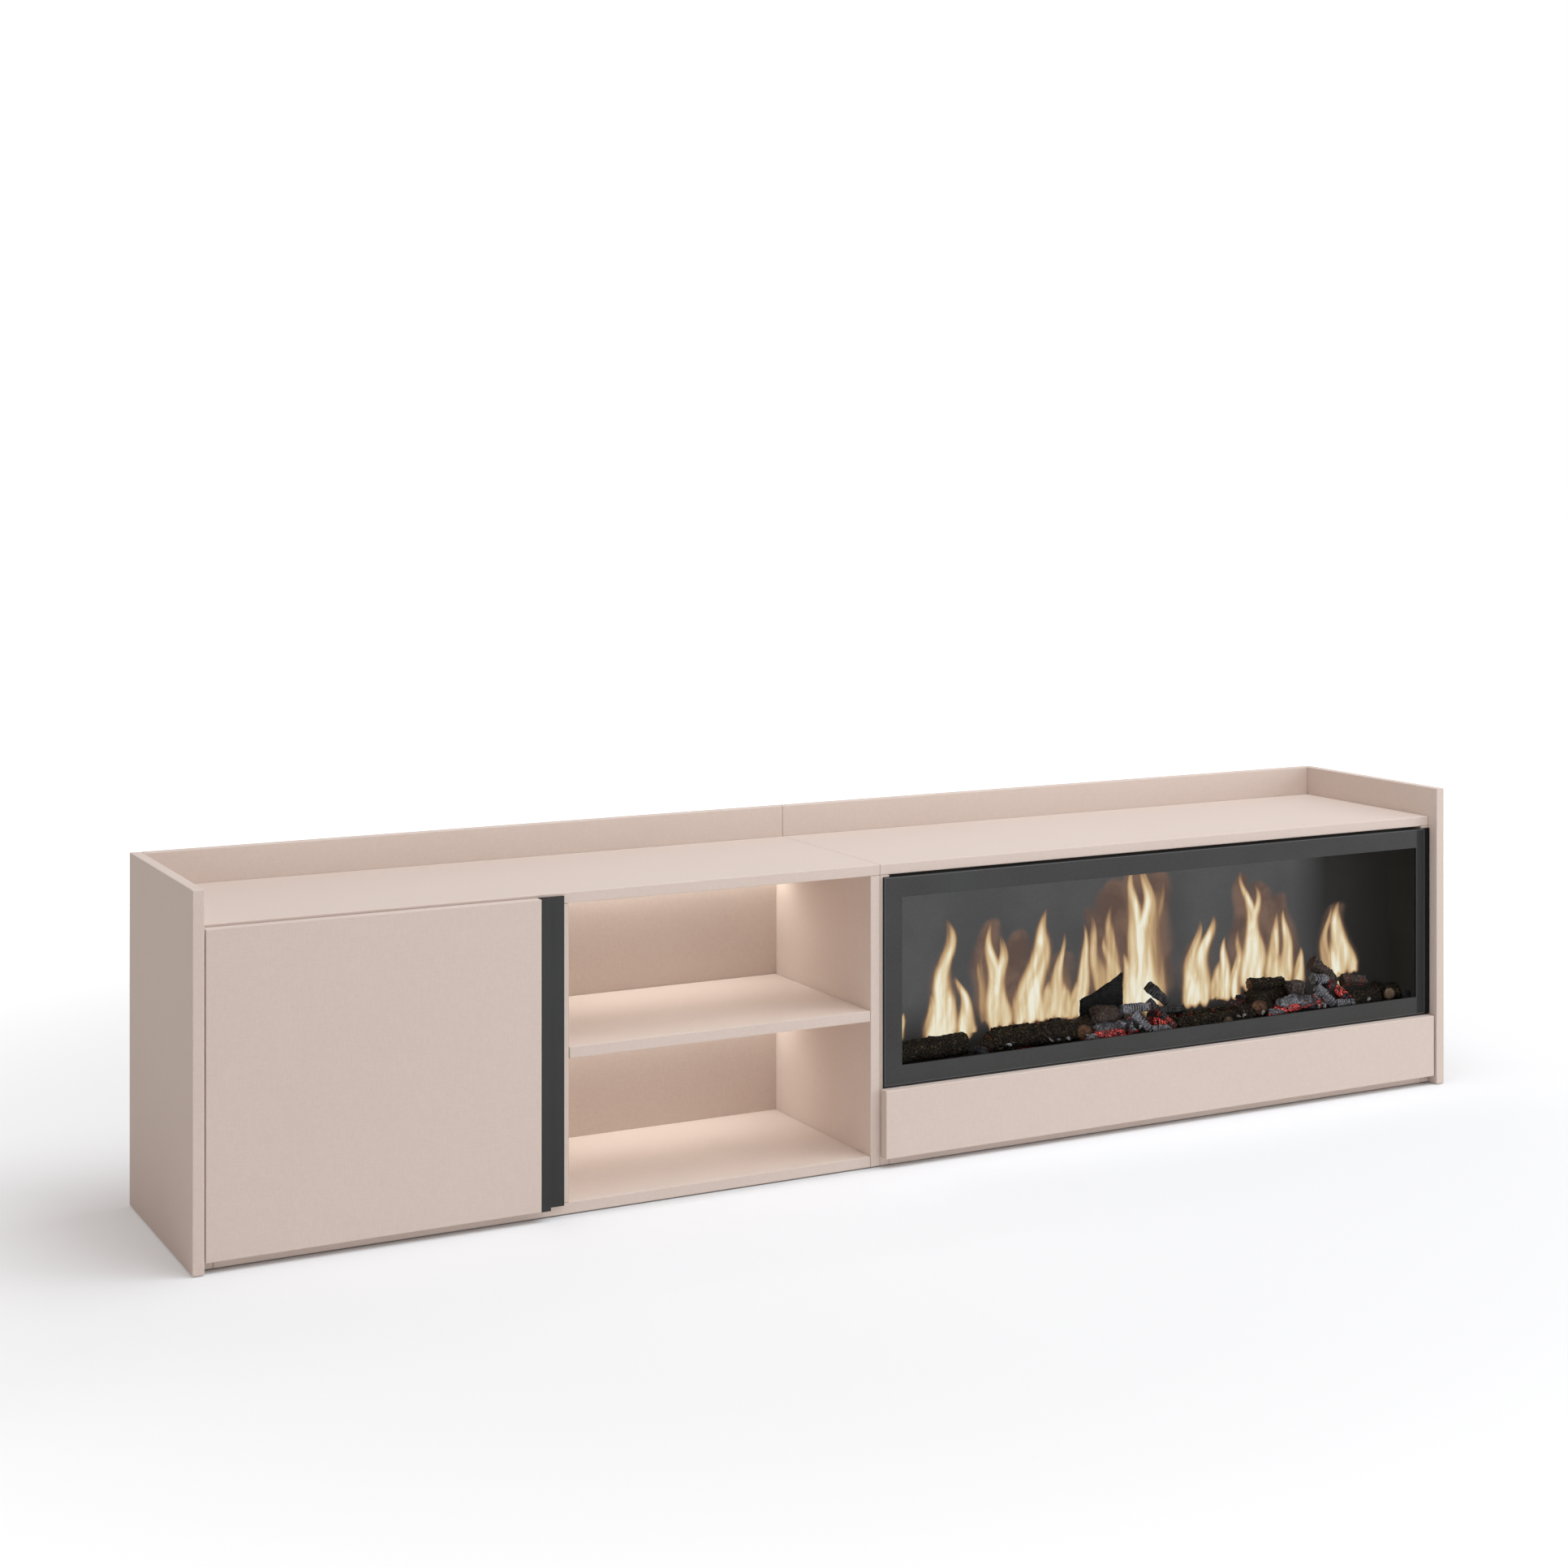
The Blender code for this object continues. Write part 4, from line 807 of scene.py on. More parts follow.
# Name, start and end (shares along and across the bed, then metres over its ground), radius and cut ends
BARK_LOGS = (
    ("first_log", (0.010, 0.42, 0.018), (0.150, 0.46, 0.021), 0.0175, "brown"),
    ("small_left_log", (0.176, 0.20, 0.010), (0.206, 0.75, 0.012), 0.0115, "red"),
    ("second_log", (0.196, 0.52, 0.016), (0.340, 0.48, 0.021), 0.0175, "brown"),
    ("third_log", (0.352, 0.16, 0.020), (0.378, 0.82, 0.026), 0.0155, "brown"),
    ("fourth_log", (0.530, 0.40, 0.007), (0.676, 0.40, 0.009), 0.0138, "brown"),
    ("pale_stub", (0.618, 0.12, 0.006), (0.628, 0.70, 0.008), 0.0120, "pale"),
    ("small_middle_log", (0.516, 0.20, 0.008), (0.540, 0.75, 0.012), 0.0110, "red"),
    ("fifth_log", (0.688, 0.16, 0.024), (0.712, 0.84, 0.030), 0.0155, "brown"),
    ("fifth_low_log", (0.650, 0.30, 0.012), (0.720, 0.50, 0.014), 0.0150, "brown"),
    ("sixth_log", (0.700, 0.80, 0.051), (0.762, 0.82, 0.049), 0.0110, "brown"),
    ("sixth_low_log", (0.690, 0.72, 0.028), (0.800, 0.80, 0.028), 0.0150, "brown"),
    ("last_log", (0.868, 0.50, 0.010), (0.985, 0.44, 0.016), 0.0160, "brown"),
    ("last_stub", (0.948, 0.12, 0.020), (0.958, 0.70, 0.022), 0.0115, "pale"),
    ("small_right_log", (0.872, 0.20, 0.014), (0.890, 0.75, 0.016), 0.0110, "red"),
    ("back_left_log", (0.215, 0.80, 0.022), (0.330, 0.84, 0.022), 0.0115, "brown"),
    ("back_middle_log", (0.556, 0.82, 0.010), (0.656, 0.80, 0.012), 0.0110, "brown"),
)


def bed_place(share_along, share_across, lift):
    """A point over the ground of the fire bed."""
    low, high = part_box("ember_bed")
    x = low.x + (high.x - low.x) * share_along
    y = low.y + (high.y - low.y) * share_across
    return Vector((x, y, low.z + BED_GROUND + lift))


def rough_noise(point, scale, seed, octaves=3):
    """Layered noise about 0 at a point."""
    return noise.fractal(point * scale + Vector((seed * 7.3, seed * 1.7, seed * 3.1)), 1.0, 2.0, octaves)


def bed_ground(finishes):
    """The lumpy floor of the bed, as a closed slab."""
    low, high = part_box("ember_bed")
    size = high - low
    middle = ((low.x + high.x) / 2, (low.y + high.y) / 2, low.z + BED_GROUND)
    shape = fine_grid(middle, (size.x, size.y), BED_STEP)
    for vertex in shape.verts:
        vertex.co.z += BED_LUMP * rough_noise(vertex.co, 60, 1.0, 4)
    close_sheet(shape, "z", low.z)
    item = make_piece("ember_ground", shape, [finishes["soot"]], smooth_angle=LOG_SMOOTH)
    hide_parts("ember_bed")


def rod_shape(length, radius, sides, step):
    """A closed rod along Z about the origin, ringed along its length and on its ends."""
    shape = bmesh.new()
    bmesh.ops.create_cone(shape, cap_ends=True, segments=sides, radius1=radius, radius2=radius, depth=length)
    long_edges = [edge for edge in shape.edges if abs(edge.verts[0].co.z - edge.verts[1].co.z) > length / 2]
    bmesh.ops.subdivide_edges(shape, edges=long_edges, cuts=max(2, round(length / step)))
    for _ in range(END_RINGS):
        caps = [face for face in shape.faces if len(face.verts) == sides]
        bmesh.ops.inset_individual(shape, faces=caps, thickness=radius / (END_RINGS + 1.5))
    caps = [face for face in shape.faces if len(face.verts) == sides]
    bmesh.ops.poke(shape, faces=caps)
    return shape


def bark_log(name, start, end, radius, ends, seed, finishes):
    """A sawn log: bark with ridges along it, a slight bend, and ringed ends."""
    start, end = bed_place(*start), bed_place(*end)
    length = (end - start).length
    shape = rod_shape(length, radius, LOG_SIDES, LOG_STEP)
    core = shape.verts.layers.float.new("from_core")
    for face in shape.faces:
        face.material_index = 1 if abs(face.normal.z) > 0.9 else 0
    for vertex in shape.verts:
        out = Vector((vertex.co.x, vertex.co.y, 0))
        vertex[core] = share = min(1.0, out.length / radius)
        ridge = abs(rough_noise(Vector((out.x, out.y, vertex.co.z * 0.35)), 260, seed, 3))
        swell = rough_noise(Vector((out.x * 0.4, out.y * 0.4, vertex.co.z)), 34, seed + 5, 2)
        if share > 0.95:
            vertex.co += out.normalized() * (BARK_DEPTH * (ridge * 1.6 - 0.8) + radius * LOG_SWELL * swell)
        vertex.co.x += radius * LOG_BEND * math.sin(vertex.co.z / length * 2.6 + seed)
        if abs(abs(vertex.co.z) - length / 2) < 0.0001:
            vertex.co.z += CUT_ROUGHNESS * rough_noise(out, 160, seed + 2, 3)
    bmesh.ops.transform(shape, matrix=axis_place(start, end), verts=shape.verts)
    make_piece(name, shape, [finishes["bark"], finishes[ends]], smooth_angle=LOG_SMOOTH)


# Name, start, end, radius and warmth of the charred sticks, and which finish they have
CHARRED_STICKS = (
    ("middle_arch_stick", (0.428, 0.40, 0.044), (0.480, 0.34, 0.044), 0.0090, 0.00, "ash"),
    ("middle_front_stick", (0.446, 0.30, 0.036), (0.468, 0.04, 0.012), 0.0085, 0.10, "ash"),
    ("middle_short_stick", (0.430, 0.26, 0.030), (0.436, 0.05, 0.012), 0.0080, 0.40, "ash"),
    ("middle_leaning_stick", (0.484, 0.52, 0.050), (0.516, 0.08, 0.010), 0.0080, 0.42, "coal"),
    ("middle_upper_stick", (0.492, 0.66, 0.072), (0.526, 0.60, 0.044), 0.0095, 0.05, "coal"),
    ("middle_ember_stick", (0.488, 0.34, 0.020), (0.512, 0.12, 0.016), 0.0085, 0.95, "coal"),
    ("middle_low_stick", (0.470, 0.10, 0.012), (0.510, 0.06, 0.010), 0.0070, 0.10, "ash"),
    ("middle_back_stick", (0.508, 0.74, 0.028), (0.566, 0.80, 0.026), 0.0070, 0.20, "coal"),
    ("right_top_stick", (0.814, 0.56, 0.080), (0.846, 0.42, 0.052), 0.0110, 0.22, "split"),
    ("right_cross_stick", (0.806, 0.40, 0.056), (0.832, 0.36, 0.054), 0.0080, 0.00, "ash"),
    ("right_front_stick", (0.810, 0.34, 0.044), (0.832, 0.06, 0.014), 0.0085, 0.10, "ash"),
    ("right_short_stick", (0.798, 0.26, 0.030), (0.806, 0.05, 0.014), 0.0075, 0.40, "ash"),
    ("right_ember_stick", (0.840, 0.46, 0.048), (0.868, 0.16, 0.018), 0.0085, 0.85, "coal"),
    ("right_low_stick", (0.836, 0.10, 0.014), (0.872, 0.06, 0.014), 0.0070, 0.10, "ash"),
    ("right_ring_stick", (0.880, 0.62, 0.042), (0.922, 0.58, 0.040), 0.0095, 0.30, "split"),
)
STICK_SIDES = 22
STICK_STEP = 0.0016
CRACK_PITCH = 0.0065
CRACK_WIDTH_SHARE = 0.12
CRACK_DEPTH_SHARE = 0.16
STICK_SQUARENESS = 0.13
STICK_UNEVENNESS = 0.20
STICK_TAPER = 0.22
STICK_BEND = 0.4


def charred_stick(name, start, end, radius, warmth, kind, seed, finishes):
    """A burnt stick, split across by cracks and flattened where it has burnt away."""
    start, end = bed_place(*start), bed_place(*end)
    length = (end - start).length
    shape = rod_shape(length, radius, STICK_SIDES, STICK_STEP)
    heat, along, ringed = (shape.verts.layers.float.new(layer) for layer in ("warmth", "along", "ringed"))
    for vertex in shape.verts:
        vertex[along], vertex[ringed] = vertex.co.z, 1.0
        out = Vector((vertex.co.x, vertex.co.y, 0))
        angle = math.atan2(out.y, out.x)
        vertex[heat] = max(0.0, min(1.0, warmth * (1.0 + 1.4 * rough_noise(vertex.co, 90, seed + 9, 2))))
        offset = vertex.co.z + 0.0015 * rough_noise(out, 200, seed, 2)
        crack = max(0.0, 1 - abs((offset / CRACK_PITCH) % 1 - 0.5) / CRACK_WIDTH_SHARE)
        square = 1 - STICK_SQUARENESS * math.cos(4 * angle + seed)
        uneven = STICK_UNEVENNESS * rough_noise(vertex.co, 120, seed, 3)
        taper = 1 - STICK_TAPER * (vertex.co.z / length + 0.5)
        if out.length > radius * 0.9:
            vertex.co.xy = out.xy * (square * taper * (1 + uneven) - CRACK_DEPTH_SHARE * crack)
        vertex.co.x += radius * STICK_BEND * math.sin(vertex.co.z / length * 3 + seed)
    bmesh.ops.transform(shape, matrix=axis_place(start, end), verts=shape.verts)
    make_piece(name, shape, [finishes[kind]], smooth_angle=STICK_SMOOTH)


# Name, middle, half size in metres, turn about Z, warmth and finish of the lumps and split pieces
LUMPS = (
    ("middle_ember_lump", (0.398, 0.14, 0.020), (0.036, 0.008, 0.013), 0.12, 1.0, "ash"),
    ("middle_ember_low_lump", (0.366, 0.10, 0.010), (0.018, 0.006, 0.007), 0.10, 0.8, "ash"),
    ("right_ember_lump", (0.752, 0.14, 0.024), (0.037, 0.008, 0.013), -0.10, 1.0, "ash"),
    ("right_ember_low_lump", (0.716, 0.10, 0.012), (0.018, 0.006, 0.007), 0.20, 0.8, "ash"),
    ("middle_split_lump", (0.404, 0.46, 0.036), (0.037, 0.013, 0.018), 0.25, 0.0, "split"),
    ("right_split_lump", (0.768, 0.36, 0.044), (0.018, 0.011, 0.014), 0.10, 0.0, "split"),
    ("middle_coal_lump", (0.430, 0.20, 0.020), (0.012, 0.009, 0.012), 0.60, 0.2, "coal"),
    ("right_coal_lump", (0.790, 0.18, 0.020), (0.012, 0.009, 0.012), 0.20, 0.2, "coal"),
    ("middle_dark_lump", (0.500, 0.50, 0.026), (0.016, 0.011, 0.014), 0.40, 0.5, "coal"),
    ("right_dark_lump", (0.844, 0.52, 0.036), (0.018, 0.011, 0.022), 0.30, 0.35, "coal"),
    ("left_coal_lump", (0.168, 0.24, 0.008), (0.014, 0.010, 0.010), 0.40, 0.0, "coal"),
    ("far_coal_lump", (0.992, 0.22, 0.008), (0.010, 0.009, 0.010), 0.90, 0.0, "coal"),
    ("left_red_lump", (0.322, 0.70, 0.034), (0.012, 0.006, 0.005), 0.10, 0.5, "coal"),
    ("right_red_lump", (0.674, 0.66, 0.034), (0.010, 0.006, 0.005), 0.10, 0.5, "coal"),
)
# How far a ball is pressed towards a block, and the block's half size to the ball's radius
BLOCK_SHARE = 0.55
BLOCK_SIZE = 0.86


def burnt_lump(name, middle, size, turn, warmth, kind, seed, finishes):
    """A broken lump: a ball pressed towards a block, then roughened. Its lower half may glow."""
    shape = bmesh.new()
    bmesh.ops.create_icosphere(shape, subdivisions=5, radius=1)
    heat = shape.verts.layers.float.new("warmth")
    for vertex in shape.verts:
        low = 0.5 - 1.3 * vertex.co.z + 0.8 * rough_noise(vertex.co, 2.4, seed + 7, 2)
        vertex[heat] = warmth * max(0.0, min(1.0, low))
        block = max(abs(part) for part in vertex.co)
        vertex.co = vertex.co.lerp(vertex.co / block * BLOCK_SIZE, BLOCK_SHARE)
        chip = 0.24 * rough_noise(vertex.co, 1.3, seed, 2) + 0.10 * rough_noise(vertex.co, 5.0, seed + 3, 4)
        vertex.co *= 1 + chip
    turns = Matrix.Rotation(turn, 4, "Z") @ Matrix.Rotation(turn * 0.7, 4, "Y")
    place = Matrix.Translation(bed_place(*middle)) @ turns @ Matrix.Diagonal((*size, 1))
    bmesh.ops.transform(shape, matrix=place, verts=shape.verts)
    make_piece(name, shape, [finishes[kind]], smooth_angle=CRISP_SMOOTH)


SLAB_LOW = (0.370, 0.70, 0.034)
SLAB_HIGH = (0.446, 0.80, 0.097)
SLAB_THIN_END = 0.42
SLAB_CUTS = 15


def black_slab(finishes):
    """The thin split board, burnt black, that leans over the middle of the bed."""
    low, high = bed_place(*SLAB_LOW), bed_place(*SLAB_HIGH)
    shape = bmesh.new()
    bmesh.ops.create_cube(shape, size=1)
    bmesh.ops.subdivide_edges(shape, edges=shape.edges, cuts=SLAB_CUTS, use_grid_fill=True)
    for vertex in shape.verts:
        across = vertex.co.x + 0.5
        tall = SLAB_THIN_END + (1 - SLAB_THIN_END) * across**1.3
        vertex.co.z = (vertex.co.z + 0.5) * tall - 0.5
        rough = 0.07 * rough_noise(vertex.co, 3.0, 8.0, 4)
        vertex.co += Vector((rough * 0.6, rough * 1.5, rough))
    place = Matrix.Translation((low + high) / 2) @ Matrix.Diagonal((*(high - low), 1))
    bmesh.ops.transform(shape, matrix=place, verts=shape.verts)
    make_piece("black_slab", shape, [finishes["slab"]], smooth_angle=CRISP_SMOOTH)


# Name, how many, smallest and largest half size, where they lie along and across the bed, how high
# over its ground, how warm they are, and finish
CINDERS = (
    ("black_cinders", 420, 0.0012, 0.0045, (0.01, 0.99), (0.03, 0.95), 0.002, 0.0, "coal"),
    ("grey_cinders", 110, 0.0010, 0.0030, (0.01, 0.99), (0.03, 0.60), 0.002, 0.0, "ash"),
    ("left_embers", 34, 0.0014, 0.0030, (0.285, 0.350), (0.62, 0.86), 0.036, 0.75, "coal"),
    ("middle_embers", 46, 0.0014, 0.0030, (0.530, 0.640), (0.66, 0.90), 0.020, 0.75, "coal"),
    ("right_embers", 40, 0.0014, 0.0030, (0.640, 0.700), (0.50, 0.80), 0.028, 0.80, "coal"),
    ("middle_front_embers", 40, 0.0014, 0.0034, (0.345, 0.400), (0.03, 0.10), 0.010, 0.60, "ash"),
    ("right_front_embers", 40, 0.0014, 0.0034, (0.690, 0.760), (0.03, 0.10), 0.010, 0.60, "ash"),
)
# Places of the pale flakes along the front, as shares of the bed's length
FLAKES = (0.212, 0.286, 0.300, 0.318, 0.355, 0.362, 0.440, 0.452, 0.486, 0.500, 0.512, 0.640, 0.652, 0.690,
          0.702, 0.742, 0.800, 0.812, 0.830, 0.846, 0.862, 0.905)
FLAKE_SIZE = (0.0050, 0.0032, 0.0019)
FLAKE_TILT = 0.9
# How high and how far back the flakes lie: the least, then how much chance adds
FLAKE_LIFT = (0.014, 0.004)
FLAKE_BACK = (0.05, 0.06)
FLAKE_ROUGHNESS = 0.9


def cinders(name, count, small, large, along, across, lift, warmth, kind, seed, finishes):
    """Small broken cinders strewn over a stretch of the bed, more of them towards the glass."""
    shape = bmesh.new()
    heat = shape.verts.layers.float.new("warmth")
    for step in range(count):
        pick = [noise.random() for _ in range(8)]
        share_along = along[0] + (along[1] - along[0]) * pick[0]
        share_across = across[0] + (across[1] - across[0]) * pick[1] ** 1.6
        place = bed_place(share_along, share_across, lift * (0.6 + 0.4 * pick[7]))
        size = small + (large - small) * pick[2] ** 2
        turn = Matrix.Rotation(math.tau * pick[3], 4, "Z") @ Matrix.Rotation(math.tau * pick[4], 4, "X")
        scale = Matrix.Diagonal((size, size * (0.5 + 0.5 * pick[5]), size * (0.4 + 0.4 * pick[6]), 1))
        made = bmesh.ops.create_icosphere(shape, subdivisions=1, radius=1)["verts"]
        for vertex in made:
            vertex.co *= 1 + 0.5 * rough_noise(vertex.co, 1.5, seed + step, 1)
            vertex[heat] = warmth * (0.4 + 0.6 * pick[3])
        bmesh.ops.transform(shape, matrix=Matrix.Translation(place) @ turn @ scale, verts=made)
    make_piece(name, shape, [finishes[kind]])


def ash_flakes(finishes):
    """Pale ash flakes heaped along the front of the bed, behind the glass's lower border."""
    shape = bmesh.new()
    for step, share in enumerate(FLAKES):
        lift = FLAKE_LIFT[0] + FLAKE_LIFT[1] * noise.random()
        back = FLAKE_BACK[0] + FLAKE_BACK[1] * noise.random()
        place = Matrix.Translation(bed_place(share, back, lift))
        turn = Matrix.Rotation(math.tau * noise.random(), 4, "Z")
        turn = turn @ Matrix.Rotation(FLAKE_TILT * noise.random(), 4, "Y")
        made = bmesh.ops.create_icosphere(shape, subdivisions=1, radius=1)["verts"]
        for vertex in made:
            vertex.co *= 1 + FLAKE_ROUGHNESS * rough_noise(vertex.co, 1.6, 300 + step, 2)
        bmesh.ops.transform(shape, matrix=place @ turn @ Matrix.Diagonal((*FLAKE_SIZE, 1)), verts=made)
    make_piece("ash_flakes", shape, [finishes["flake"]])


def fire_bed():
    """The whole bed: ground, logs, sticks, lumps and cinders."""
    finishes = {
        "soot": soot_bed(),
        "bark": dark_bark(),
        "brown": cut_wood("brown_cut_wood", shade(58, 38, 28), shade(138, 104, 80)),
        "pale": cut_wood("pale_cut_wood", shade(98, 80, 62), shade(150, 130, 108)),
        "red": cut_wood("red_cut_wood", shade(40, 22, 16), shade(84, 46, 32)),
        "coal": charred_wood("coal_black", shade(9, 8, 8), shade(38, 31, 28), 0.22, 0.05),
        "ash": charred_wood("ash_crusted", shade(24, 21, 21), shade(66, 60, 60), 0.9, 0.55),
        "split": charred_wood("split_wood", shade(30, 24, 20), shade(96, 76, 62), 0.15, 0.05),
        "slab": charred_wood("burnt_slab", shade(4, 4, 4), shade(14, 12, 12), 0.03, 0.0),
        "flake": charred_wood("pale_flake", shade(120, 120, 124), shade(210, 210, 212), 1.0, 0.2),
    }
    noise.seed_set(RANDOM_SEED)
    bed_ground(finishes)
    for index, row in enumerate(BARK_LOGS):
        bark_log(*row, index + 1.0, finishes)
    for index, row in enumerate(CHARRED_STICKS):
        charred_stick(*row, index + 20.0, finishes)
    for index, row in enumerate(LUMPS):
        burnt_lump(*row, index + 40.0, finishes)
    black_slab(finishes)
    for index, row in enumerate(CINDERS):
        cinders(*row, 60.0 + 900.0 * index, finishes)
    ash_flakes(finishes)


# Small fittings. Each screw is a head's radius and rise.

FITTING_SINK = 0.0002
WING_SCREW = (0.0036, 0.0006)
PLATE_SCREW = (0.0036, 0.0013)
RUNNER_SCREW = (0.0034, 0.0014)
HANDLE_SCREW = (0.0032, 0.0009)
RECESS_REACH = 0.3
RECESS_DEPTH = 0.6

# Concealed hinges: the cup with its flange, the pins across it and the wings beside it
CUP_SIDES = 64
CUP_RADIUS = 0.0173
CUP_WALL = 0.0012
CUP_FOOT_ROUND = 0.0015
CUP_INNER_ROUND = 0.0018
CUP_LIP_ROUND = 0.0010
FLANGE_THICKNESS = 0.0012
FLANGE_ROUND = 0.0003
CUP_PIN_RADIUS = 0.0014
CUP_PIN_SIDES = 16
# Each pin: its side of the cup's middle, and how far down the cup it lies
CUP_PINS = ((-0.0060, 0.62), (0.0060, 0.38))
WING_SIZE = (0.0150, 0.0150, 0.0010)
WING_CORNER = 0.0045
WING_ROUND = 0.0002
WING_REACH = 0.0255
WING_SINK = 0.0007
WING_SCREW_OUT = 0.0015

# Hinge arms: where the faces under their screws lie, and each screw's distance behind the arm's front
PLATE_FACE = 0.004
PLATE_MIDDLE = 0.0372
PLATE_SCREW_REACH = 0.0160
ARM_FACE = 0.012
ARM_SCREWS = ((0.0160, (0.0026, 0.0010)), (0.0370, (0.0036, 0.0010)), (0.0530, (0.0036, 0.0010)))

# Shelf pins and flat covers
PIN_RADIUS = 0.0024
PIN_LENGTH = 0.0085
PIN_COLLAR_RADIUS = 0.0042
PIN_INSET = 0.035
CAP_RADIUS = 0.0085
CAP_RISE = 0.0006
CAP_DROP = 0.034
CAP_INSET = 0.058
BACK_COVER_SHARES = (0.12, 0.50, 0.85)
MIDDLE_UPRIGHTS = ("left_module_inner_side", "right_module_inner_side")
FIRE_UPRIGHT_OFFSET = 0.02
TURNED_SIDES = 24
CAP_SIDES = 40

# Runners, handle, inlet, the painted shade strip under the glass, and glides
RUNNER_WEB = 0.0012
RUNNER_SCREWS = (0.012, 0.070, 0.190)
HANDLE_WALL = 0.0014
HANDLE_SCREWS = (0.10, 0.50, 0.90)
BLADE_SIZE = (0.002, 0.004, 0.010)
BLADE_ROUND = 0.0004
BLADE_DEPTH = 0.0075
BLADE_SHIFTS = ((-0.007, 0, -0.0015), (0, 0, 0.0025), (0.007, 0, -0.0015))
GAP_SHADE_DEPTH = 0.0009
GAP_SHADE_HEIGHT = 0.0140
GAP_SHADE_ROUND = 0.0002
GLIDE_RADIUS = 0.0065
GLIDE_RISE = 0.0015
GLIDE_INSET = 0.035


def faced(direction, spots):
    """Places of fittings, drawn on the origin and facing +Z, that face another way at these spots."""
    turn = direction.to_track_quat("Z", "Y").to_matrix().to_4x4()
    return [Matrix.Translation(spot) @ turn for spot in spots]


def turned(profile, sides):
    """A closed turned shape about Z, from (radius, height) points that start and end on the axis."""
    shape = bmesh.new()
    points = [shape.verts.new((radius, 0, height)) for radius, height in profile]
    lines = [shape.edges.new(pair) for pair in zip(points, points[1:])]
    bmesh.ops.spin(shape, geom=points + lines, cent=(0, 0, 0), axis=(0, 0, 1), angle=math.tau,
                   steps=sides, use_merge=True)
    bmesh.ops.remove_doubles(shape, verts=shape.verts, dist=0.000001)
    bmesh.ops.recalc_face_normals(shape, faces=shape.faces)
    return shape


def screw_head(radius, rise):
    """A domed screw head with a cross recess, on the origin and facing +Z."""
    shape = bmesh.new()
    bmesh.ops.create_grid(shape, x_segments=5, y_segments=5, size=radius * 0.55)
    rim = [edge for edge in shape.edges if edge.is_boundary]
    ring = set(bmesh.ops.create_circle(shape, cap_ends=False, segments=len(rim), radius=radius)["verts"])
    circle = [edge for edge in shape.edges if ring.issuperset(edge.verts)]
    bmesh.ops.bridge_loops(shape, edges=rim + circle)
    for vertex in shape.verts:
        vertex.co.z = rise * (1 - 0.65 * (vertex.co.xy.length / radius) ** 2)
    close_sheet(shape, "z", -FITTING_SINK)
    bmesh.ops.recalc_face_normals(shape, faces=shape.faces)
    middles = {face: face.calc_center_median() for face in shape.faces}
    reach = RECESS_REACH * radius
    cross = [face for face, spot in middles.items() if abs(spot.x) + abs(spot.y) < reach and spot.z > 0]
    bmesh.ops.inset_region(shape, faces=cross, thickness=radius * 0.03, depth=-rise * RECESS_DEPTH)
    return shape


def copies(template, places):
    """One shape with a copy of the template at each place."""
    mesh = bpy.data.meshes.new("template")
    template.to_mesh(mesh)
    template.free()
    shape = bmesh.new()
    for place in places:
        known = len(shape.verts)
        shape.from_mesh(mesh)
        shape.verts.ensure_lookup_table()
        bmesh.ops.transform(shape, matrix=place, verts=shape.verts[known:])
    bpy.data.meshes.remove(mesh)
    return shape


def rounded_block(size, corner, edge):
    """A block about the origin, its upright corners well rounded and its other edges a little."""
    shape = bmesh.new()
    bmesh.ops.create_cube(shape, size=1, matrix=Matrix.Diagonal((*size, 1)))
    upright = [line for line in shape.edges if abs(line.verts[0].co.z - line.verts[1].co.z) > size[2] / 2]
    bmesh.ops.bevel(shape, geom=upright, offset=corner, affect="EDGES", segments=5, profile=0.5, material=-1)
    flat = [line for line in shape.edges if abs(line.verts[0].co.z - line.verts[1].co.z) < size[2] / 2]
    rims = [line for line in flat if len({round(face.normal.z) for face in line.link_faces}) > 1]
    bmesh.ops.bevel(shape, geom=rims, offset=edge, affect="EDGES", segments=2, profile=0.5, material=-1)
    return shape


def place_fittings(name, template, places, finish, body="cabinet"):
    """Copies of one fitting as a single piece."""
    return make_piece(name, copies(template, places), [finish], body, CRISP_SMOOTH, outward=True)


def hinge_bowl(floor, rim):
    """A drawn cup, its mouth on the origin and its floor below, with a flange out to the rim's radius."""
    under, mouth = -FLANGE_THICKNESS, CUP_RADIUS - CUP_WALL
    inside = floor + CUP_WALL
    profile = (
        (0, floor), (CUP_RADIUS - CUP_FOOT_ROUND, floor), (CUP_RADIUS, floor + CUP_FOOT_ROUND),
        (CUP_RADIUS, under), (rim - FLANGE_ROUND, under), (rim, under + FLANGE_ROUND),
        (rim, -EDGE_ROUND), (rim - EDGE_ROUND, 0),
        (mouth + CUP_LIP_ROUND, 0), (mouth + FLANGE_ROUND, -FLANGE_ROUND), (mouth, -CUP_LIP_ROUND),
        (mouth, inside + CUP_INNER_ROUND), (mouth - EDGE_ROUND, floor + CUP_INNER_ROUND),
        (mouth - CUP_INNER_ROUND, inside), (0, inside),
    )
    return turned(profile, CUP_SIDES)


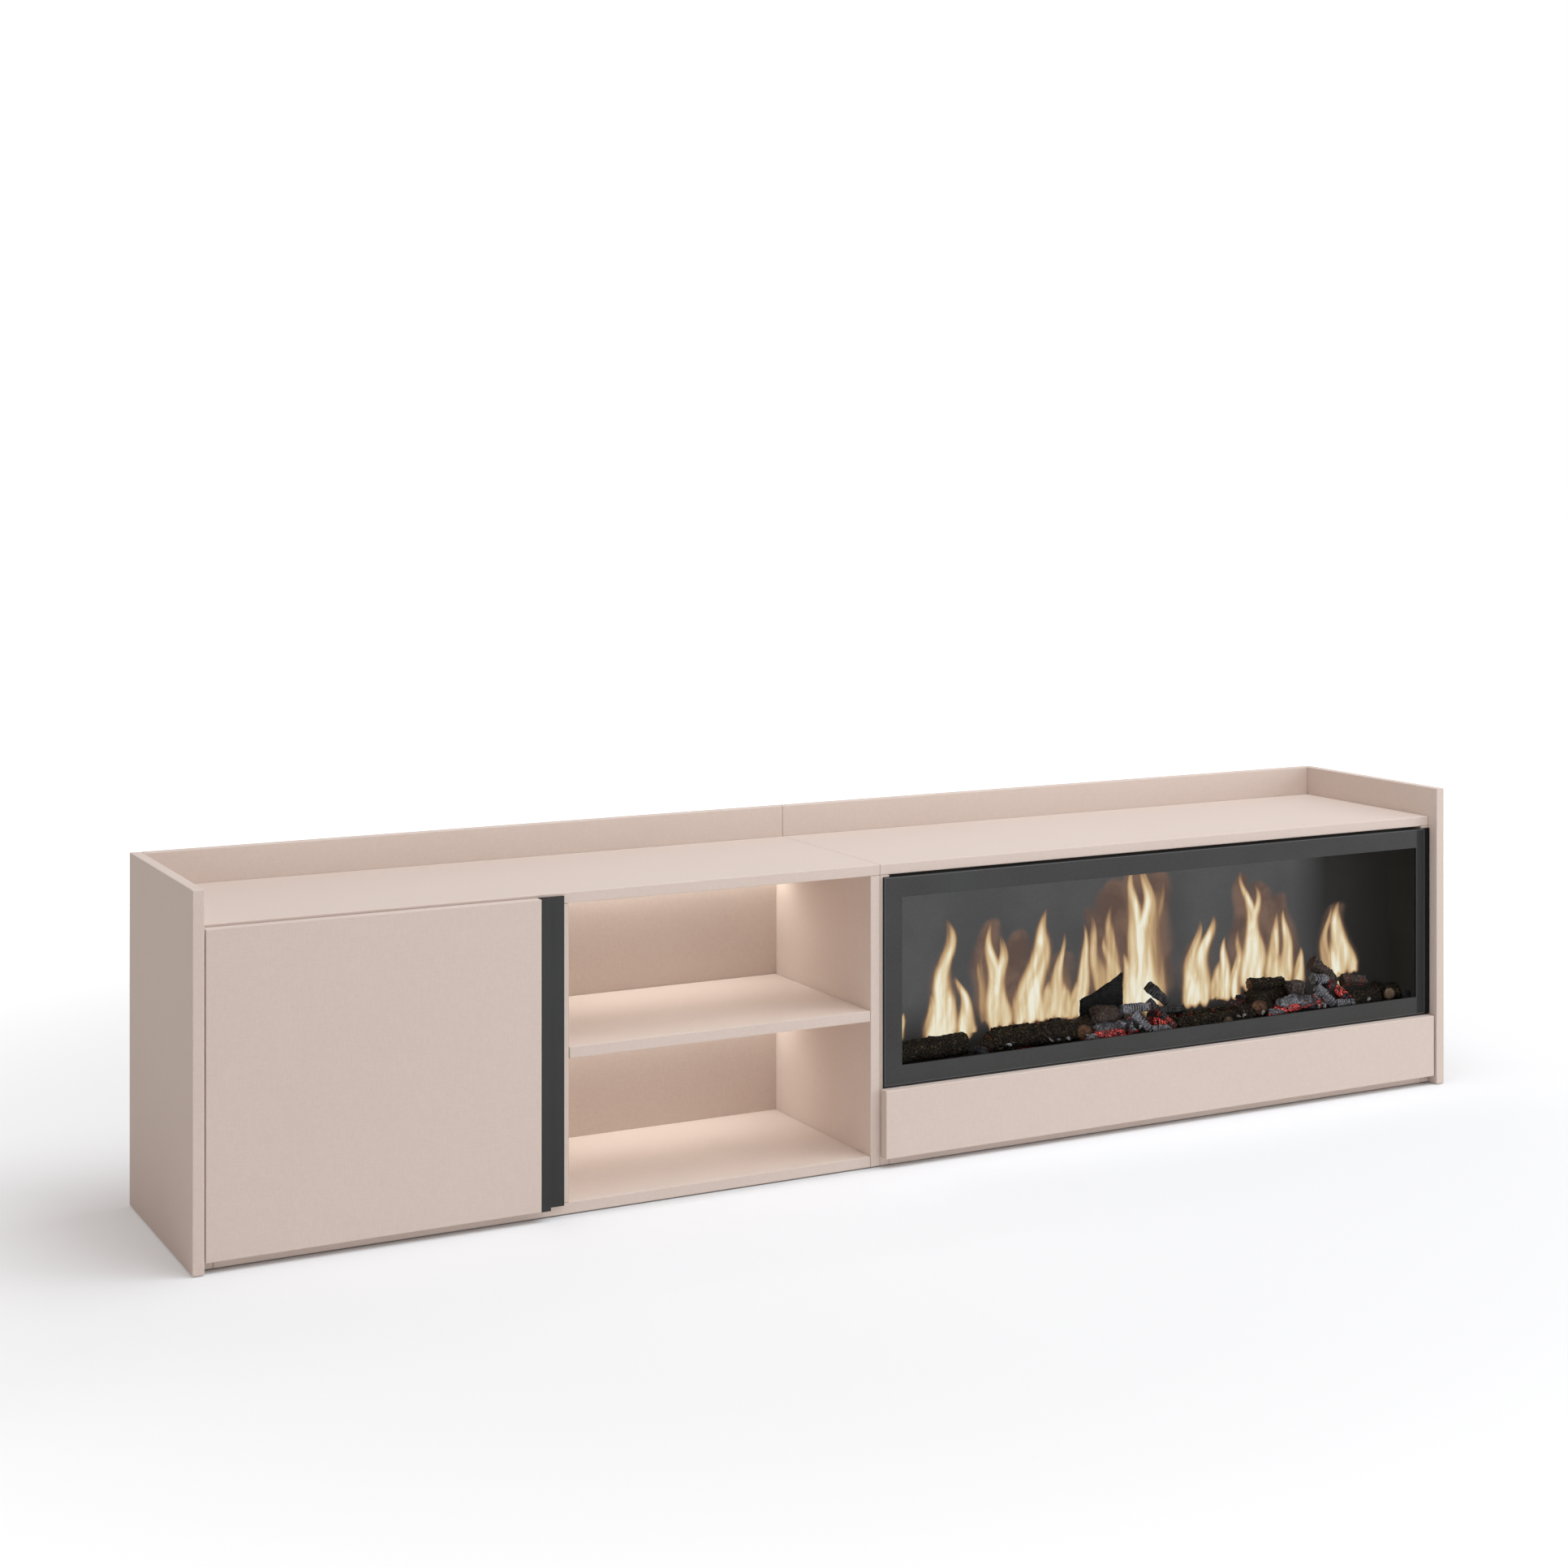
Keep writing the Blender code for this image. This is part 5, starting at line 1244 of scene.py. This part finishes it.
def hinge_fittings(steel):
    """Round cups with pins and screwed wings on the door, and the screws of the arms on the cabinet."""
    for level in ("upper", "lower"):
        low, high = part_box(f"{level}_hinge_cup")
        middle = Vector(((low.x + high.x) / 2, high.y, (low.z + high.z) / 2))
        depth = high.y - low.y
        bowl = place_fittings(f"{level}_hinge_bowl", hinge_bowl(-depth, (high.x - low.x) / 2),
                              faced(Y_AXIS, [middle]), steel, body="door")
        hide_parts(f"{level}_hinge_cup")
        length = 2 * (CUP_RADIUS - CUP_WALL - CUP_PIN_RADIUS)
        spots = [middle + Vector((side, -depth * share, 0)) for side, share in CUP_PINS]
        place_fittings(f"{level}_hinge_pins", rod_shape(length, CUP_PIN_RADIUS, CUP_PIN_SIDES, length / 3),
                       [Matrix.Translation(spot) for spot in spots], steel, body="door")
        wings = [middle + Vector((0, -WING_SINK, side * WING_REACH)) for side in (-1, 1)]
        place_fittings(f"{level}_hinge_wings", rounded_block(WING_SIZE, WING_CORNER, WING_ROUND),
                       faced(Y_AXIS, wings), steel, body="door")
        reach = WING_REACH + WING_SCREW_OUT
        heads = [middle + Vector((0, WING_SIZE[2] / 2 - WING_SINK, side * reach)) for side in (-1, 1)]
        heads = faced(Y_AXIS, heads)
        place_fittings(f"{level}_wing_screws", screw_head(*WING_SCREW), heads, steel, body="door")
        low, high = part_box(f"{level}_hinge_arm")
        face, across = low.x + PLATE_FACE, low.y + PLATE_MIDDLE
        plate = [(face, across, middle.z + side * PLATE_SCREW_REACH) for side in (-1, 1)]
        place_fittings(f"{level}_plate_screws", screw_head(*PLATE_SCREW), faced(X_AXIS, plate), steel)
        for number, (back, head) in enumerate(ARM_SCREWS, 1):
            spot = (low.x + ARM_FACE, low.y + back, middle.z)
            place_fittings(f"{level}_arm_screw_{number}", screw_head(*head), faced(X_AXIS, [spot]), steel)


def upright_middles(*names):
    """Where the middles of upright boards lie across the stand."""
    return [sum(corner.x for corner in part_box(name)) / 2 for name in names]


def cupboard_fittings(steel, pale):
    """Pins under the cupboard's shelf, covers on the cams of the top board and on the screws in the back."""
    shelf_low, shelf_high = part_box("cupboard_shelf")
    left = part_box("left_side_board")[1].x
    divider_low, divider_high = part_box("divider_board")

    def both_sides(depths, level):
        """Places on the cupboard's two side walls, facing into it."""
        return [place for wall, direction in ((left, X_AXIS), (divider_low.x, -X_AXIS))
                for place in faced(direction, [(wall, depth, level) for depth in depths])]

    pin = (
        (0, 0), (PIN_COLLAR_RADIUS, 0), (PIN_COLLAR_RADIUS, 0.0004), (PIN_RADIUS, 0.0005),
        (PIN_RADIUS, PIN_LENGTH - 0.001), (PIN_RADIUS - 0.0004, PIN_LENGTH - 0.0003),
        (PIN_RADIUS - 0.001, PIN_LENGTH), (0, PIN_LENGTH),
    )
    cap = (
        (0, -FITTING_SINK), (CAP_RADIUS, -FITTING_SINK), (CAP_RADIUS, CAP_RISE * 0.5),
        (CAP_RADIUS - 0.0006, CAP_RISE * 0.85), (CAP_RADIUS - 0.002, CAP_RISE), (0, CAP_RISE),
    )
    level = shelf_low.z - PIN_RADIUS - FITTING_SINK
    places = both_sides((shelf_low.y + PIN_INSET, shelf_high.y - PIN_INSET), level)
    place_fittings("shelf_pins", turned(pin, TURNED_SIDES), places, steel)
    places = both_sides((CAD_LOW.y + CAP_INSET, CAD_HIGH.y - CAP_INSET), divider_high.z - CAP_DROP)
    place_fittings("cam_covers", turned(cap, CAP_SIDES), places, pale)
    uprights = upright_middles("left_side_board", "divider_board", *MIDDLE_UPRIGHTS)
    uprights.append(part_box("fire_chassis_back")[1].x + FIRE_UPRIGHT_OFFSET)
    spots = [(across, CAD_HIGH.y, CAD_HIGH.z * share) for across in uprights for share in BACK_COVER_SHARES]
    place_fittings("back_screw_covers", turned(cap, CAP_SIDES), faced(Y_AXIS, spots), pale)


def runner_fittings(steel):
    """Screws that hold the drawer's runner members to its sides."""
    for side, direction in (("left", -X_AXIS), ("right", X_AXIS)):
        low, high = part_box(f"{side}_runner_drawer_member")
        face = high.x - RUNNER_WEB if side == "left" else low.x + RUNNER_WEB
        spots = [(face, low.y + back, (low.z + high.z) / 2) for back in RUNNER_SCREWS]
        places = faced(direction, spots)
        place_fittings(f"{side}_runner_screws", screw_head(*RUNNER_SCREW), places, steel, body="drawer")


def handle_fittings(black):
    """Screws inside the handle's channel."""
    low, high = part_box("door_handle")
    face, middle = low.x + HANDLE_WALL, (low.y + high.y) / 2
    spots = [(face, middle, low.z + (high.z - low.z) * share) for share in HANDLE_SCREWS]
    places = faced(X_AXIS, spots)
    place_fittings("handle_screws", screw_head(*HANDLE_SCREW), places, black, "door")


def inlet_blades(steel):
    """The three flat pins of the power inlet."""
    low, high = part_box("power_inlet")
    middle = Vector(((low.x + high.x) / 2, low.y + BLADE_DEPTH, (low.z + high.z) / 2))
    spots = [middle + Vector(shift) for shift in BLADE_SHIFTS]
    blade = rounded_block(BLADE_SIZE, BLADE_ROUND, BLADE_ROUND)
    place_fittings("inlet_blades", blade, faced(Y_AXIS, spots), steel)


def glass_gap_shade(black):
    """A black strip on the shelf's front edge under the glass: painted shade, a dark sheet standing in for
    the shadow in that gap.
    """
    start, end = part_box("fire_glass")[0].x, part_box("side_trim_strip")[1].x
    face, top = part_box("fire_shelf")[0].y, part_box("fire_shelf")[1].z
    middle = ((start + end) / 2, face - GAP_SHADE_DEPTH / 2 + FITTING_SINK, top - GAP_SHADE_HEIGHT / 2)
    strip = rounded_block((end - start, GAP_SHADE_DEPTH, GAP_SHADE_HEIGHT), GAP_SHADE_ROUND, GAP_SHADE_ROUND)
    place_fittings("glass_gap_shade_strip", strip, [Matrix.Translation(middle)], black)


def floor_glides(black):
    """Thin nailed glides under the upright boards, which keep the boards off the floor."""
    profile = (
        (0, FITTING_SINK), (GLIDE_RADIUS * 0.8, FITTING_SINK), (GLIDE_RADIUS, -GLIDE_RISE * 0.3),
        (GLIDE_RADIUS, -GLIDE_RISE * 0.7), (GLIDE_RADIUS - 0.0004, -GLIDE_RISE), (0, -GLIDE_RISE),
    )
    uprights = upright_middles("left_end_panel", *MIDDLE_UPRIGHTS, "right_end_panel")
    depths = (CAD_LOW.y + GLIDE_INSET, CAD_HIGH.y - GLIDE_INSET)
    places = [Matrix.Translation((across, depth, CAD_LOW.z)) for across in uprights for depth in depths]
    place_fittings("floor_glides", turned(profile, TURNED_SIDES), places, black)


def fittings():
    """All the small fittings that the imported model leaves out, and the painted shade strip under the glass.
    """
    black = moulded_plastic("black_glides_and_gap_shade", shade(2, 2, 2), shade(6, 6, 6))
    # Painted shade: a black strip stands in for the shadow in the gap under the glass
    glass_gap_shade(black)
    floor_glides(black)
    steel = zinc_plate("nickel_fitting", (0, 1, 0))
    pale = moulded_plastic("pale_plastic", shade(206, 190, 180), shade(216, 201, 191))
    hinge_fittings(steel)
    cupboard_fittings(steel, pale)
    runner_fittings(steel)
    handle_fittings(powder_coat("black_screw", shade(26, 26, 27), 0.4, 0.5))
    inlet_blades(steel)


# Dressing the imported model's own nodes


def dress(finish, *names):
    """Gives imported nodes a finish."""
    for name in names:
        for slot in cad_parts[name].material_slots:
            slot.material = finish


def round_edges(*names):
    """Softens the edges of boards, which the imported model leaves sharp."""
    for name in names:
        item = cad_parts[name]
        weld = item.modifiers.new("weld", "WELD")
        weld.merge_threshold = WELD_REACH
        bevel = item.modifiers.new("edges", "BEVEL")
        bevel.width = EDGE_ROUND
        bevel.segments = 2
        bevel.limit_method = "ANGLE"
        bevel.angle_limit = EDGE_ANGLE


def dress_nodes():
    """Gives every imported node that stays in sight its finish."""
    boards = [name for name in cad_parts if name.endswith(("_board", "_panel", "_shelf"))]
    boards += ["left_module_inner_side", "right_module_inner_side", "drawer_front", "drawer_inner_front"]
    boards += ["drawer_left_side", "drawer_right_side", "drawer_back"]
    dress(pale_melamine(), *boards)
    round_edges(*boards)
    dress(pale_hardboard(), "cupboard_back_panel", "niche_back_panel", "right_back_panel", "drawer_bottom")
    dress(powder_coat("black_handle", shade(33, 33, 33), 0.46, 0.56), "door_handle")
    dress(powder_coat("black_trim", shade(5, 5, 5), 0.6, 0.7, gloss=0.15), "side_trim_strip")
    chassis = [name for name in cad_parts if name.startswith("fire_chassis_")]
    # Painted light: the chamber's black steel glows, standing in for the fire's light on its walls
    painted_firelight = (shade(25, 24, 22), shade(30, 29, 26))
    dress(powder_coat("black_sheet_steel", shade(22, 21, 20), 0.6, 0.75, gloss=0.15, glow=painted_firelight), *chassis)
    dress(fire_pane(), "fire_glass")
    runners = [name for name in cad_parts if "_runner_" in name]
    dress(zinc_plate("zinc_runner", (0, 1, 0)), *runners)
    arms = ["upper_hinge_arm", "lower_hinge_arm"]
    dress(zinc_plate("nickel_hinge", (0, 1, 0)), *arms)
    round_edges(*arms)
    dress(zinc_plate("brushed_rotor", (1, 0, 0)), "flame_rotor", "rotor_motor")
    dress(zinc_plate("light_channel", (1, 0, 0)), "upper_light_channel", "lower_light_channel")
    black = moulded_plastic("black_plastic", shade(20, 20, 20), shade(30, 30, 30))
    dress(black, "power_inlet", "rotor_bearing", "push_latch_plunger")
    grey = moulded_plastic("grey_plastic", shade(128, 128, 128), shade(142, 142, 142))
    dress(grey, "push_latch_body", "fire_control_box")
    dress(soft_rubber(), "door_bumper")
    dress(frosted_diffuser(), "upper_light_diffuser", "lower_light_diffuser", "fire_light_bar")


# Studio


def backdrop_rays(tree):
    """1 for rays that come from the camera, a mirror or glass, 0 for rays that carry light."""
    path = tree.nodes.new("ShaderNodeLightPath")
    either = None
    for name in ("Is Camera Ray", "Is Glossy Ray", "Is Transmission Ray"):
        if either is None:
            either = path.outputs[name]
            continue
        join = tree.nodes.new("ShaderNodeMath")
        join.operation = "MAXIMUM"
        tree.links.new(either, join.inputs[0])
        tree.links.new(path.outputs[name], join.inputs[1])
        either = join.outputs[0]
    return either


def studio_floor():
    """A plain pale floor that keeps the stand's shadow."""
    shape = bmesh.new()
    place = Matrix.Translation((0, 0, -GLIDE_RISE))
    bmesh.ops.create_grid(shape, x_segments=1, y_segments=1, size=FLOOR_REACH, matrix=place)
    mesh = bpy.data.meshes.new("studio_floor")
    shape.to_mesh(mesh)
    shape.free()
    floor = bpy.data.objects.new("studio_floor", mesh)
    bpy.context.scene.collection.objects.link(floor)
    finish = Finish("studio_floor")
    away = finish.add("ShaderNodeVectorMath", operation="LENGTH")
    finish.feed(away.inputs[0], finish.place)
    outside = None
    for letter, reach in (("X", CAD_HIGH.x), ("Y", CAD_HIGH.y)):
        off = finish.maths("SUBTRACT", finish.maths("ABSOLUTE", finish.axis(letter)), reach)
        outside = off if outside is None else finish.maths("MAXIMUM", outside, off)
    near = finish.spread(outside, FLOOR_GLOW_FOOT, FLOOR_GLOW_NEAR, 0.0, FLOOR_GLOW_RISE)
    far = finish.spread(away.outputs["Value"], 0.0, FLOOR_GLOW_FAR - FLOOR_GLOW_NEAR, *FLOOR_GLOW_REACH)
    glow = finish.times(finish.plus(near, far), finish.share(outside, -FLOOR_GLOW_FADE, 0.0))
    white = finish.add("ShaderNodeVectorMath", operation="SCALE")
    finish.feed(white.inputs[0], FLOOR_TINT)
    finish.feed(white.inputs["Scale"], finish.maths("SUBTRACT", FLOOR_WHITE, near))
    finish.set(Base_Color=white.outputs[0], Roughness=0.9, Specular_IOR_Level=0.0)
    finish.set(Emission_Color=(1.0, 1.0, 1.0), Emission_Strength=glow)
    plain = finish.add("ShaderNodeBsdfDiffuse")
    finish.feed(plain.inputs["Color"], FLOOR_BOUNCE)
    finish.surface(finish.blend(backdrop_rays(finish.tree), plain.outputs[0], finish.shader.outputs[0]))
    mesh.materials.append(finish.material)


def studio_world():
    """A white backdrop, and an even soft light from all round."""
    world = bpy.data.worlds.new("studio")
    bpy.context.scene.world = world
    world.use_nodes = True
    tree = world.node_tree
    light = tree.nodes["Background"]
    light.inputs["Color"].default_value = (*FILL_COLOUR, 1)
    light.inputs["Strength"].default_value = FILL_STRENGTH
    white = tree.nodes.new("ShaderNodeBackground")
    white.inputs["Color"].default_value = (1, 1, 1, 1)
    white.inputs["Strength"].default_value = 1.0
    choice = tree.nodes.new("ShaderNodeMixShader")
    tree.links.new(backdrop_rays(tree), choice.inputs[0])
    tree.links.new(light.outputs[0], choice.inputs[1])
    tree.links.new(white.outputs[0], choice.inputs[2])
    tree.links.new(choice.outputs[0], tree.nodes["World Output"].inputs["Surface"])


def area_lamp(name, place, size, power, aim, colour, spread=math.pi):
    """A soft rectangular lamp that faces a point."""
    lamp = bpy.data.lights.new(name, "AREA")
    lamp.shape = "RECTANGLE"
    lamp.size, lamp.size_y = size
    lamp.energy = power
    lamp.color = colour
    lamp.spread = spread
    item = bpy.data.objects.new(name, lamp)
    item.location = place
    item.rotation_euler = (Vector(aim) - Vector(place)).to_track_quat("-Z", "Y").to_euler()
    bpy.context.scene.collection.objects.link(item)


def niche_lamps():
    """The light of the two strips in the niche, which falls down and a little forward."""
    for level in ("upper", "lower"):
        low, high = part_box(f"{level}_light_diffuser")
        middle = (low + high) / 2
        place = Vector((middle.x, middle.y, low.z - STRIP_DROP))
        aim = place + Vector((0, -math.sin(STRIP_LEAN), -math.cos(STRIP_LEAN)))
        size = (high.x - low.x, high.y - low.y)
        area_lamp(f"{level}_strip", place, size, STRIP_POWER, aim, STRIP_COLOUR, STRIP_SPREAD)


def camera():
    """The camera at the photograph's place. It is level, and its frame is shifted down."""
    lens = bpy.data.cameras.new("camera")
    lens.lens = CAMERA_LENS
    lens.shift_y = (HORIZON_ROW - PHOTO_SIZE / 2) / PHOTO_SIZE
    item = bpy.data.objects.new("camera", lens)
    item.location = CAMERA_PLACE
    item.rotation_euler = (math.pi / 2, 0, CAMERA_TURN)
    bpy.context.scene.collection.objects.link(item)
    bpy.context.scene.camera = item


def main():
    """Dresses the stand and sets up its studio."""
    bpy.context.scene.view_settings.view_transform = "Standard"
    camera()
    studio_world()
    studio_floor()
    for row in STUDIO_LAMPS:
        area_lamp(*row, LAMP_AIM, LAMP_COLOUR)
    niche_lamps()
    dress_nodes()
    flame_picture()
    fire_bed()
    fittings()


main()
